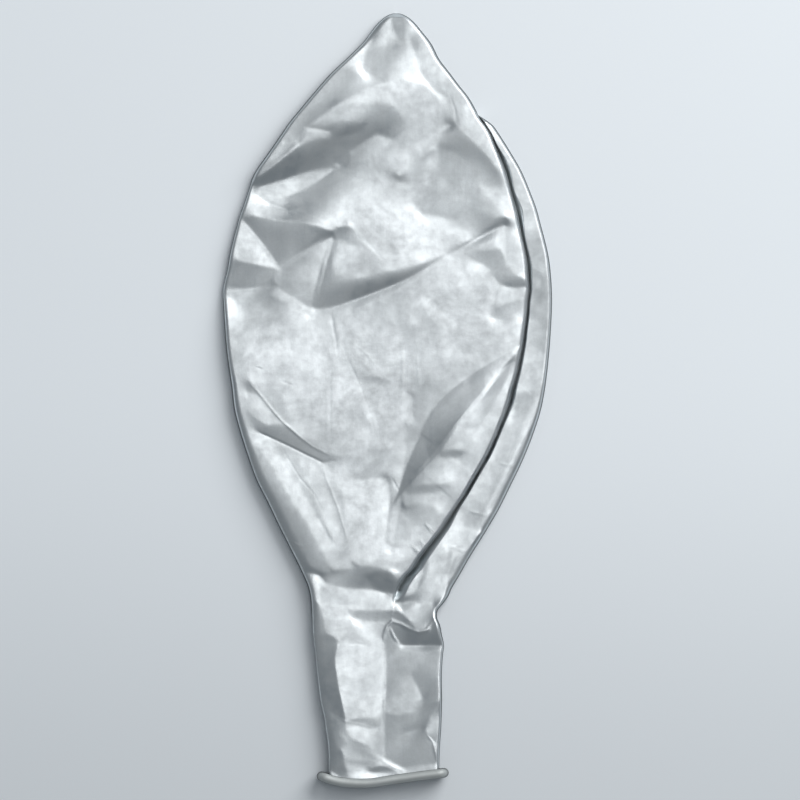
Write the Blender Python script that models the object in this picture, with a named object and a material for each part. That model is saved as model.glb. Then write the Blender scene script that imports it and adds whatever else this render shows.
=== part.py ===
"""Giant round latex balloon, let down and lying flat, with its crown at +Y and its mouth at -Y.

The limp envelope lies folded on itself: a front lobe lies on a rear lobe, with a tucked side
gusset between them. Both gather in a throat, which leads into a flat hollow neck, and a rolled
rim bead goes round the neck's mouth. A thick dab of latex closes the crown.

Sizes are written in millimetres and reach the meshes through MM. The floor is at z = 0.
"""

import math
from collections import namedtuple

import bmesh
import bpy

MM = 0.001

# Gaps and walls
GAP = 0.3
NECK_WALL = 0.7

# Heights of the stacked folds above the floor
REAR_TOP = 4.0
GUSSET_LOW = REAR_TOP + GAP
GUSSET_TOP = GUSSET_LOW + 0.8
FRONT_LOW = GUSSET_TOP + GAP
EDGE_LIFT = 1.4
UNDERSIDE_SHARE = 0.96

# How far the rear lobe and the gusset are set back under the front lobe's fold edges
REAR_SETBACK = 0.6
REAR_EDGE_WIDTH = 4.0
GUSSET_LEFT_SETBACK = 6.0
GUSSET_FOLD_SETBACK = 3.0
GUSSET_TOP_SETBACK = 30.0

# The free strip of the rear lobe, right of the front lobe's fold edge
STRIP_INSET = 2.0
STRIP_BULGE = 1.8
STRIP_FULL_WIDTH = 10.0
STRIP_PLACES = (0.15, 0.35, 0.6, 0.8, 0.93, 1)

# Places along Y where one piece ends and the next begins
CROWN_BASE_Y = 191.0
CROWN_TOP_Y = 200.0
THROAT_TOP_Y = -98.0
NECK_TOP_Y = -123.5

# The crown's dab
CROWN_TIP_X = 4.5
CROWN_HALF_WIDTH = 12.4
CROWN_TIP_LOW = 1.2
CROWN_TIP_HIGH = 3.6
CROWN_BASE_HIGH = 6.6

# Neck and bead
BEAD_DIAMETER = 5.0
BEAD_GAP = 5.0
MOUTH_LEFT = -34.1
MOUTH_RIGHT = 29.2
NECK_CENTRE_Z = BEAD_DIAMETER + BEAD_GAP / 2
NECK_LOW = NECK_CENTRE_Z - BEAD_GAP / 2 - NECK_WALL
NECK_HIGH = NECK_CENTRE_Z + BEAD_GAP / 2 + NECK_WALL
NECK_END_SETBACK = 2.2
SIDE_END_SETBACK = 1.1
SIDE_END_REACH = 5.0

# How finely the lofts are cut, and how full the lobes stay towards their edges
LOBE_ROWS = 30
LOBE_COLUMNS = 16
FOLDED_ROWS = 56
FOLDED_COLUMNS = 32
FOLDED_EDGE_SHARE = 0.75
EDGE_POWER = 5
THROAT_ROWS = 8
CROWN_ROWS = 8
CROWN_LAST_ROW = 0.12
NECK_ROWS = 12
RING_ARC_STEPS = 5
RING_STRAIGHT_STEPS = 10
BEAD_STRAIGHT_STEPS = 14
BEAD_ARC_STEPS = 6

# The envelope from the crown to the throat, at each station along Y
Station = namedtuple("Station", "y left fold right crest")
ENVELOPE = (
    Station(191.0, -8.0, 16.0, 17.0, 6.8),
    Station(175.5, -22.0, 25.6, 27.0, 7.7),
    Station(155.0, -41.3, 41.6, 44.0, 8.3),
    Station(134.5, -57.0, 54.4, 60.0, 8.6),
    Station(114.0, -70.2, 62.2, 71.0, 9.0),
    Station(88.0, -78.4, 68.6, 80.0, 9.4),
    Station(57.0, -84.9, 73.0, 84.9, 9.7),
    Station(26.0, -83.3, 69.4, 83.6, 9.8),
    Station(-5.0, -79.2, 61.9, 79.2, 9.8),
    Station(-36.0, -69.9, 47.5, 67.6, 9.8),
    Station(-61.5, -57.8, 31.2, 54.4, 9.8),
    Station(-82.5, -47.7, 15.7, 41.8, 9.9),
    Station(-98.0, -40.8, 4.4, 32.8, 9.9),
)

# The main puffs and hollows of the front lobe: each is a long mound that fades to nothing at its
# half length and half width, turned in degrees from +X. A hollow's height is below zero.
Fold = namedtuple("Fold", "x y half_length half_width turn height")
FOLDS = (
    Fold(-13.0, 149.0, 32.0, 20.0, 8, 2.6),
    Fold(-39.0, 134.0, 15.0, 9.0, 20, 1.2),
    Fold(47.0, 132.0, 27.0, 13.0, -52, 1.4),
    Fold(-52.0, 114.0, 32.0, 11.0, 14, -2.2),
    Fold(23.0, 102.0, 22.0, 16.0, -70, -1.2),
    Fold(-42.0, 90.0, 27.0, 18.0, -20, 2.5),
    Fold(-24.0, 80.0, 30.0, 22.0, -27, 0.8),
    Fold(-4.0, 71.0, 32.0, 18.0, -15, 2.6),
    Fold(-71.0, 85.0, 18.0, 8.0, -55, -1.3),
    Fold(-78.0, 57.0, 24.0, 15.0, 0, -2.4),
    Fold(-27.0, 48.0, 34.0, 13.0, 12, -2.4),
    Fold(58.0, 22.0, 32.0, 17.0, 40, 2.3),
    Fold(-51.0, -15.0, 18.0, 8.0, -41, 1.3),
    Fold(-56.0, -21.0, 20.0, 8.0, -25, -1.2),
    Fold(-8.0, -42.0, 24.0, 16.0, 10, -1.0),
    Fold(8.0, -37.0, 28.0, 18.0, 68, -2.4),
    Fold(-42.0, -54.0, 40.0, 13.0, -50, 1.0),
    Fold(0.0, -87.0, 20.0, 9.0, -25, 1.2),
)

# The throat, which lifts the film from the floor to the neck
ThroatStation = namedtuple("ThroatStation", "y left right low high")
THROAT = (
    ThroatStation(-98.0, -40.8, 32.8, 0.0, 9.9),
    ThroatStation(-103.5, -39.9, 28.6, 0.6, 9.8),
    ThroatStation(-108.5, -39.4, 26.1, 1.6, 9.7),
    ThroatStation(-114.0, -38.9, 26.8, 2.8, 9.9),
    ThroatStation(-119.0, -38.5, 28.2, 3.8, 10.4),
    ThroatStation(-123.5, -38.2, 28.7, NECK_LOW, NECK_HIGH),
)

# The neck's two side edges
NeckStation = namedtuple("NeckStation", "y left right")
NECK = (
    NeckStation(-123.5, -38.2, 28.7),
    NeckStation(-139.0, -36.4, 28.1),
    NeckStation(-157.5, -34.3, 28.1),
    NeckStation(-172.5, -31.7, 27.6),
    NeckStation(-189.0, -30.7, 26.6),
    NeckStation(-200.0, -30.7, 26.6),
)

# The bead's centre line seen from above: it bows and lies a little askew to the neck
MouthPoint = namedtuple("MouthPoint", "x y")
MOUTH = (
    MouthPoint(-34.0, -194.0),
    MouthPoint(-28.0, -196.0),
    MouthPoint(-19.5, -197.3),
    MouthPoint(-11.5, -197.5),
    MouthPoint(4.0, -195.4),
    MouthPoint(19.5, -193.3),
    MouthPoint(29.0, -192.2),
)


def smooth_read(table, key, column, at):
    """Read one column of a table at a place between its rows, along a smooth curve."""
    rows = sorted(table, key=lambda row: getattr(row, key))
    places = [getattr(row, key) for row in rows]
    values = [getattr(row, column) for row in rows]
    last = len(rows) - 1
    at = min(max(at, places[0]), places[last])
    index = 0
    while index < last - 1 and at > places[index + 1]:
        index += 1

    def slope(i):
        before = max(i - 1, 0)
        after = min(i + 1, last)
        return (values[after] - values[before]) / (places[after] - places[before])

    span = places[index + 1] - places[index]
    t = (at - places[index]) / span
    start = (1 + 2 * t) * (1 - t) ** 2 * values[index]
    start_slope = t * (1 - t) ** 2 * span * slope(index)
    end = t * t * (3 - 2 * t) * values[index + 1]
    end_slope = t * t * (t - 1) * span * slope(index + 1)
    return start + start_slope + end + end_slope


def steps(low, high, count):
    """Return evenly spaced values from low to high, both ends included."""
    return [low + (high - low) * i / count for i in range(count + 1)]


def edge_weighted(count, share=1.0):
    """Return values from -1 to 1 that crowd towards both ends, the more so the larger the share."""
    quarter = math.pi / 2 * share
    return [math.sin(quarter * s) / math.sin(quarter) for s in steps(-1, 1, count)]


def make_material(name, colour, roughness, metallic):
    """Make a plain finish."""
    material = bpy.data.materials.new(name)
    material.use_nodes = True
    shader = material.node_tree.nodes["Principled BSDF"]
    shader.inputs["Base Color"].default_value = (*colour, 1)
    shader.inputs["Roughness"].default_value = roughness
    shader.inputs["Metallic"].default_value = metallic
    return material


def add_part(name, mesh, material, collection):
    """Put a mesh in the collection as a named part, shaded smooth but for its sharp edges."""
    mesh.shade_smooth()
    mesh.set_sharp_from_angle(angle=math.radians(35))
    mesh.materials.append(material)
    part = bpy.data.objects.new(name, mesh)
    collection.objects.link(part)
    return part


def bridge_rings(bm, rings):
    """Join each ring of vertices to the next with quads."""
    for ring, following in zip(rings, rings[1:]):
        for i in range(len(ring)):
            j = (i + 1) % len(ring)
            bm.faces.new((ring[i], ring[j], following[j], following[i]))


def finish_mesh(bm, name):
    """Turn the faces outwards and return the mesh."""
    bmesh.ops.recalc_face_normals(bm, faces=bm.faces)
    mesh = bpy.data.meshes.new(name)
    bm.to_mesh(mesh)
    bm.free()
    return mesh


def lofted_solid(name, sections):
    """Loft a closed solid through sections of equal length, given in millimetres."""
    bm = bmesh.new()
    rings = [[bm.verts.new([c * MM for c in point]) for point in section] for section in sections]
    bridge_rings(bm, rings)
    bm.faces.new(rings[0])
    bm.faces.new(rings[-1])
    return finish_mesh(bm, name)


def lofted_sleeve(name, outer_sections, inner_sections):
    """Loft a sleeve with an open end at each side, given in millimetres."""
    bm = bmesh.new()
    walls = []
    for sections in (outer_sections, inner_sections):
        rings = [[bm.verts.new([c * MM for c in point]) for point in section] for section in sections]
        bridge_rings(bm, rings)
        walls.append(rings)
    for end in (0, -1):
        bridge_rings(bm, [walls[0][end], walls[1][end]])
    return finish_mesh(bm, name)


def envelope_at(y):
    """Return the envelope's station at any place along Y."""
    return Station(y, *(smooth_read(ENVELOPE, "y", c, y) for c in Station._fields[1:]))


def rear_section(y):
    """Section of the rear lobe: flat below, flat under the front lobe, puffed along its strip."""
    station = envelope_at(y)
    left = station.left + REAR_SETBACK
    right = station.right
    strip_start = min(station.fold + STRIP_INSET, right - REAR_SETBACK)
    strip_width = right - strip_start
    puff = STRIP_BULGE * min(1, strip_width / STRIP_FULL_WIDTH)

    upper = []
    for s in steps(0, 1, LOBE_COLUMNS // 2):
        x = left + (strip_start - left) * s ** 1.5
        drop = (1 - min(1, (x - left) / REAR_EDGE_WIDTH)) ** 3
        upper.append((x, y, REAR_TOP - (REAR_TOP - EDGE_LIFT) * drop))
    for s in STRIP_PLACES:
        height = REAR_TOP + puff * math.sin(math.pi * s)
        height -= (REAR_TOP - EDGE_LIFT) * s ** 6
        upper.append((strip_start + strip_width * s, y, height))

    lower = []
    for s in steps(-1, 1, LOBE_COLUMNS // 2)[1:-1]:
        lower.append(((left + right) / 2 - (right - left) / 2 * s * UNDERSIDE_SHARE, y, 0))
    return upper + lower


def fold_height(x, y):
    """Height that the puffs and hollows add to the front lobe at one place."""
    height = 0
    for fold in FOLDS:
        turn = math.radians(fold.turn)
        along = (x - fold.x) * math.cos(turn) + (y - fold.y) * math.sin(turn)
        across = (y - fold.y) * math.cos(turn) - (x - fold.x) * math.sin(turn)
        reach = (along / fold.half_length) ** 2 + (across / fold.half_width) ** 2
        height += fold.height * max(0, 1 - reach) ** 2
    return height


def front_section(y):
    """Section of the front lobe: flat below, puffed above, with rounded fold edges."""
    station = envelope_at(y)
    centre = (station.left + station.fold) / 2
    half = (station.fold - station.left) / 2
    edge_z = FRONT_LOW + min(EDGE_LIFT, (station.crest - FRONT_LOW) / 2)
    upper = []
    for s in edge_weighted(FOLDED_COLUMNS, FOLDED_EDGE_SHARE):
        x = centre + half * s
        crest = station.crest + fold_height(x, y)
        upper.append((x, y, edge_z + (crest - edge_z) * (1 - abs(s) ** EDGE_POWER)))
    lower = []
    for s in steps(1, -1, LOBE_COLUMNS // 2):
        lower.append((centre + half * s * UNDERSIDE_SHARE, y, FRONT_LOW))
    return upper + lower


def gusset_section(y):
    """Section of the tucked gusset: a flat double film set back from both fold edges."""
    station = envelope_at(y)
    left = station.left + GUSSET_LEFT_SETBACK
    right = station.fold - GUSSET_FOLD_SETBACK
    return [(left, y, GUSSET_LOW), (right, y, GUSSET_LOW), (right, y, GUSSET_TOP), (left, y, GUSSET_TOP)]


def throat_section(y):
    """Section of the throat: a lens that narrows and lifts towards the neck."""
    left, right, low, high = (smooth_read(THROAT, "y", c, y) for c in ThroatStation._fields[1:])
    centre = (left + right) / 2
    half = (right - left) / 2
    middle = (low + high) / 2
    upper = []
    lower = []
    for s in edge_weighted(LOBE_COLUMNS):
        bulge = 1 - abs(s) ** EDGE_POWER
        upper.append((centre + half * s, y, middle + (high - middle) * bulge))
        lower.append((centre + half * s, y, middle - (middle - low) * bulge))
    return upper + lower[::-1][1:-1]


def crown_section(y):
    """Section of the crown's dab: a lens whose width follows a parabola to the tip."""
    along = (CROWN_TOP_Y - y) / (CROWN_TOP_Y - CROWN_BASE_Y)
    half = CROWN_HALF_WIDTH * math.sqrt(along)
    low = CROWN_TIP_LOW * (1 - along)
    high = CROWN_TIP_HIGH + (CROWN_BASE_HIGH - CROWN_TIP_HIGH) * math.sqrt(along)
    middle = (low + high) / 2
    ring = []
    for i in range(LOBE_COLUMNS):
        turn = 2 * math.pi * i / LOBE_COLUMNS
        ring.append((CROWN_TIP_X - half * math.cos(turn), y, middle + (high - low) / 2 * math.sin(turn)))
    return ring


def flat_ring(left, right, half_height, arc_steps, straight_steps):
    """Return the x and z of a flattened ring: two straight runs joined by half rounds."""
    radius = half_height
    start = left + radius
    end = right - radius
    ring = [(x, NECK_CENTRE_Z + radius) for x in steps(start, end, straight_steps)]
    for turn in steps(0, math.pi, arc_steps)[1:-1]:
        ring.append((end + radius * math.sin(turn), NECK_CENTRE_Z + radius * math.cos(turn)))
    ring += [(x, NECK_CENTRE_Z - radius) for x in steps(end, start, straight_steps)]
    for turn in steps(0, math.pi, arc_steps)[1:-1]:
        ring.append((start - radius * math.sin(turn), NECK_CENTRE_Z - radius * math.cos(turn)))
    return ring


def neck_sections(inset):
    """Return the neck's sections, set in by some thickness, down to the askew mouth."""
    sections = []
    top = NECK_TOP_Y - GAP
    for along in steps(0, 1, NECK_ROWS):
        y_level = top + (NECK[-2].y - top) * along
        left = smooth_read(NECK, "y", "left", y_level) + inset
        right = smooth_read(NECK, "y", "right", y_level) - inset
        ring = flat_ring(left, right, NECK_HIGH - NECK_CENTRE_Z - inset, RING_ARC_STEPS, RING_STRAIGHT_STEPS)
        section = []
        for x, z in ring:
            side_nearness = max(0, 1 - min(x - left, right - x) / SIDE_END_REACH)
            mouth_y = smooth_read(MOUTH, "x", "y", x) + NECK_END_SETBACK + SIDE_END_SETBACK * side_nearness
            section.append((x, top + (mouth_y - top) * along, z))
        sections.append(section)
    return sections


def build_lobes(film, collection):
    """Build the rear lobe, the gusset on it and the front lobe on top."""
    rows = steps(CROWN_BASE_Y, THROAT_TOP_Y, LOBE_ROWS)
    add_part("rear_lobe", lofted_solid("rear_lobe", [rear_section(y) for y in rows]), film, collection)
    folded_rows = steps(CROWN_BASE_Y, THROAT_TOP_Y, FOLDED_ROWS)
    front_lobe = lofted_solid("front_lobe", [front_section(y) for y in folded_rows])
    add_part("front_lobe", front_lobe, film, collection)
    tucked_rows = steps(CROWN_BASE_Y - GUSSET_TOP_SETBACK, THROAT_TOP_Y, LOBE_ROWS // 2)
    gusset = lofted_solid("side_gusset", [gusset_section(y) for y in tucked_rows])
    add_part("side_gusset", gusset, film, collection)


def build_crown_tip(latex, collection):
    """Build the thick dab that closes the crown, from its base to the rounded tip."""
    base = CROWN_BASE_Y + GAP
    rows = [CROWN_TOP_Y - (CROWN_TOP_Y - base) * s * s for s in steps(1, CROWN_LAST_ROW, CROWN_ROWS)]
    add_part("crown_tip", lofted_solid("crown_tip", [crown_section(y) for y in rows]), latex, collection)


def build_throat(film, collection):
    """Build the gathered throat between the lobes and the neck."""
    rows = steps(THROAT_TOP_Y - GAP, NECK_TOP_Y, THROAT_ROWS)
    add_part("throat", lofted_solid("throat", [throat_section(y) for y in rows]), film, collection)


def build_neck(film, collection):
    """Build the hollow neck, open at its mouth."""
    sleeve = lofted_sleeve("neck", neck_sections(0), neck_sections(NECK_WALL))
    add_part("neck", sleeve, film, collection)


def build_rim_bead(latex, collection):
    """Build the rolled bead round the mouth, as a closed cord along a flattened ring."""
    radius = BEAD_DIAMETER / 2
    ring = flat_ring(
        MOUTH_LEFT + radius,
        MOUTH_RIGHT - radius,
        BEAD_GAP / 2 + radius,
        BEAD_ARC_STEPS,
        BEAD_STRAIGHT_STEPS,
    )
    curve = bpy.data.curves.new("rim_bead", "CURVE")
    curve.dimensions = "3D"
    curve.bevel_depth = radius * MM
    curve.bevel_resolution = 3
    spline = curve.splines.new("POLY")
    spline.points.add(len(ring) - 1)
    for point, (x, z) in zip(spline.points, ring):
        point.co = (x * MM, smooth_read(MOUTH, "x", "y", x) * MM, z * MM, 1)
    spline.use_cyclic_u = True
    spline.use_smooth = True
    curve.materials.append(latex)
    collection.objects.link(bpy.data.objects.new("rim_bead", curve))


def main():
    """Build the balloon."""
    for old in list(bpy.data.objects):
        bpy.data.objects.remove(old, do_unlink=True)
    collection = bpy.data.collections.new("giant_latex_balloon")
    bpy.context.scene.collection.children.link(collection)
    film = make_material("silver_film", (0.72, 0.76, 0.78), 0.38, 0.6)
    tip = make_material("crown_latex", (0.6, 0.64, 0.66), 0.42, 0.5)
    bead = make_material("bead_latex", (0.62, 0.66, 0.68), 0.45, 0.45)
    build_lobes(film, collection)
    build_crown_tip(tip, collection)
    build_throat(film, collection)
    build_neck(film, collection)
    build_rim_bead(bead, collection)


main()
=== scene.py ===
"""Looks of a giant latex balloon, let down and lying flat: the limp folded film, its neck and its rim."""

import logging
import math
from dataclasses import dataclass, field
from enum import Enum
from typing import Callable

import bpy
import numpy as np
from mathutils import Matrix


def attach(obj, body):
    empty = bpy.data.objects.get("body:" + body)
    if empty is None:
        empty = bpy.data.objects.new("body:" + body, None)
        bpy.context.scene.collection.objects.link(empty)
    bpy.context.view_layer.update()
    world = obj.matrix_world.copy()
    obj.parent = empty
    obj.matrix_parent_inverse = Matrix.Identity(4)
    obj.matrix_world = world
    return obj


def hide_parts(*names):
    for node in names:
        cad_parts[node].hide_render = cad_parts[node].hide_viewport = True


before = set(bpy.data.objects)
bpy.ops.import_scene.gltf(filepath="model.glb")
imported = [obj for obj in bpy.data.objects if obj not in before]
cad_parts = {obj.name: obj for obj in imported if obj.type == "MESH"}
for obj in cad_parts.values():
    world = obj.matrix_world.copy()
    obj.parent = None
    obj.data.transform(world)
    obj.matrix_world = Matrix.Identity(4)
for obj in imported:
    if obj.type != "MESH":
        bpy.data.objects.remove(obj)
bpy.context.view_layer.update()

LOG = logging.getLogger("giant_balloon")
BODY = "root"
MM = 0.001
# Attribute that says where shade is painted into the film's colour along its outline
PAINTED_SHADE_MARK = "outline"
NEAR_ZERO = 1e-9
LEAST_DISTANCE = 1e-6

Grid = np.ndarray


@dataclass(frozen=True)
class Facet:
    """A flat of the limp film, as the photograph shows it.

    Each corner is (column, row, rise): the photograph's pixel, and how steeply the film climbs
    towards the light there, in percent of the relief's steepness. A fall is below zero. The turn,
    in degrees, is from the light to the way the film climbs.
    """

    name: str
    corners: tuple[tuple[float, float, float], ...]
    turn: float = 0.0


@dataclass(frozen=True)
class FacetGroup:
    """Facets that pass equally softly into the film round them."""

    softness: float
    facets: tuple[Facet, ...]


@dataclass(frozen=True)
class Crease:
    """A sharp line in the film: a ridge where its height is above zero, or a valley.

    Height and half width are in millimetres, and each point is the photograph's (column, row).
    Where the right side, seen along the points, has a half width of its own, the left side is a
    straight slope.
    """

    name: str
    height: float
    half_width: float
    points: tuple[tuple[float, float], ...]
    right_half_width: float = 0.0


@dataclass(frozen=True)
class PhotoPlan:
    """Turns a pixel of the photograph, taken from straight above, into the object's plan in millimetres."""

    pixel: float = 0.516
    column_at_middle: float = 387.5
    row_at_middle: float = 400.5

    def x(self, columns: Grid) -> Grid:
        """Return where columns of the photograph are across the object."""
        return (np.asarray(columns, float) - self.column_at_middle) * self.pixel

    def y(self, rows: Grid) -> Grid:
        """Return where rows of the photograph are along the object."""
        return (self.row_at_middle - np.asarray(rows, float)) * self.pixel


PLAN = PhotoPlan()
CROWN_FACETS = (
    Facet("tip_left_flat", ((383, 32, 16), (391, 24, 20), (395, 28, 22), (399, 42, 20), (388, 47, 6))),
    Facet("crown_left_lip", (
        (372, 36, 30), (376, 30, 65), (382, 22, 65), (390, 15, 60), (389, 20, 55), (380, 33, 45),
    )),
    Facet("crown_pleat", (
        (390, 15, 55), (398, 14, 60), (409, 16, 55), (411, 30, 50), (405, 43, 12), (398, 38, 40),
        (393, 27, 60),
    )),
    Facet("crown_pleat_streak", ((399, 20, 65), (406, 20, 67), (406, 34, 55), (402, 38, 45))),
    Facet("crown_second_pleat", ((411, 22, 45), (419, 26, 47), (419, 42, 41), (412, 40, 39))),
    Facet("crown_left_ridge", (
        (390, 17, 18), (392, 28, 14), (386, 42, 4), (372, 56, -2), (366, 52, -2), (376, 34, 16),
    )),
    Facet("crown_bright", (
        (368, 52, -6), (386, 44, -8), (412, 45, -10), (418, 66, -8), (414, 78, -5), (384, 80, -5),
        (364, 68, -5),
    )),
    Facet("crown_right_flat", (
        (412, 42, 18), (424, 44, 19), (440, 62, 19), (455, 82, 17), (449, 96, 17), (434, 88, 19),
        (420, 68, 14),
    )),
)

SHOULDER_FACETS = (
    Facet("notch_fill", (
        (299, 131, 20), (318, 131, 30), (334, 132, 36), (334, 142, 42), (318, 141, 36), (300, 145, 30),
    ), 60),
    Facet("crown_broad_shade", (
        (330, 108, 0), (352, 98, 6), (378, 86, 7), (400, 80, 7), (425, 86, 7), (440, 104, 9), (440, 124, 9),
        (420, 140, 11), (400, 152, 13), (376, 160, 15), (350, 168, 24), (332, 150, 33), (316, 130, 22),
        (312, 122, 9),
    )),
    Facet("left_shoulder_light", (
        (350, 74, 0), (362, 78, -2), (344, 96, -3), (326, 112, -5), (300, 134, -8), (278, 162, -12),
        (262, 176, -14), (256, 178, -12), (272, 155, -10), (300, 118, -6), (324, 98, -3),
    )),
    Facet("upper_dark_slope", (
        (255, 182, 90), (270, 170, 60), (285, 157, 50), (300, 144, 44), (318, 139, 46), (330, 140, 50),
        (332, 152, 52), (334, 168, 58), (322, 174, 66), (308, 176.5, 74), (292, 182, 82), (280, 186, 90),
        (266, 185.5, 90),
    ), 62),
    Facet("upper_dark_core", (
        (286, 166, 61), (303, 153, 56), (322, 154, 56), (330, 165, 64), (315, 172, 72), (292, 178, 78),
        (272, 181, 82),
    ), 60),
    Facet("crown_dark_slope", (
        (304, 127, 32), (318, 122, 39), (331, 108, 28), (345, 104, 30), (358, 103, 32), (378, 103, 32),
        (396, 106, 25), (404, 122, 23), (396, 138, 25), (378, 146, 34), (362, 150, 41), (352, 156, 47),
        (341, 164, 47), (334, 162, 54), (331, 145, 61), (331, 131, 65), (318, 129, 54),
    ), 40),
    Facet("crown_dark_core", (
        (328, 124, 47), (345, 121, 52), (364, 124, 44), (358, 132, 63), (342, 136, 73), (331, 132, 67),
    ), 45),
    Facet("crown_dark_left_of_core", (
        (331, 132, 64), (342, 136, 64), (345, 146, 43), (336, 158, 36), (333, 150, 50),
    ), 45),
    Facet("below_crown_dark", (
        (350, 152, 17), (376, 133, 15), (396, 141, 8), (404, 152, 6), (396, 170, 2), (380, 166, 8),
        (363, 160, 12), (350, 162, 15),
    )),
    Facet("band_under_dark", (
        (258, 186, -10), (280, 188, -12), (310, 178, -10), (335, 170, -9), (345, 178, -9), (320, 190, -9),
        (285, 195, -9), (262, 192, -10),
    )),
    Facet("left_small_wedge", (
        (257, 193, -8), (268, 197, -8), (290, 201, -8), (302, 205, -8), (285, 206, -8), (270, 202, -8),
    )),
    Facet("lower_wedge_grey", (
        (262, 205, -8), (285, 211, -9), (304, 206, -10), (324, 212, -11), (337, 222, -11), (333, 231, -12),
        (320, 225.5, -12), (304, 221, -11), (280, 217, -10), (252, 213, -9),
    )),
)

FAN_FACETS = (
    Facet("edge_streak_light", (
        (440, 66, 16), (455, 84, 16), (472, 106, 16), (486, 128, 18), (502, 162, 18), (495, 162, 16),
        (477, 143, 14), (460, 124, 14), (450, 98, 14), (438, 80, 14),
    )),
    Facet("fan_main", (
        (456.5, 127, 20), (446, 136, 25), (437, 147, 43), (455, 152, 30), (470, 165, 15), (480, 185, 10),
        (501, 185, 25), (499, 175, 36), (490, 160, 43), (475, 145, 36),
    )),
    Facet("fan_interior", (
        (437, 147, 32), (455, 152, 21), (470, 165, 15), (480, 185, 13), (476, 205, 13), (455, 217, 13),
        (435, 215, 15), (421, 212, 15), (425, 195, 15), (432, 175, 11), (436, 158, 13),
    )),
    Facet("fan_left_border", (
        (400, 179, 20), (406, 182, 16), (420, 172, 15), (432, 160, 15), (437, 149, 21), (430, 150, 22),
        (416, 161, 21),
    )),
    Facet("fan_streak", (
        (433, 155, 2), (438, 158, 6), (430, 180, 9), (421, 205, 11), (415, 203, 11), (424, 178, 4),
    )),
    Facet("above_fan_light", (
        (404, 176, -19), (416, 160, -19), (430, 147, -19), (445, 134, -19), (452, 126, -16), (444, 128, -10),
        (425, 142, -10), (408, 160, -9), (398, 174, -13),
    )),
    Facet("under_dark_flat", (
        (285, 196, -8), (320, 190, -10), (345, 178, -10), (362, 186, -8), (358, 205, -6), (343, 226, -6),
        (333, 230, -6), (322, 212, -8), (304, 206, -8), (285, 208, -8),
    )),
)

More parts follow.
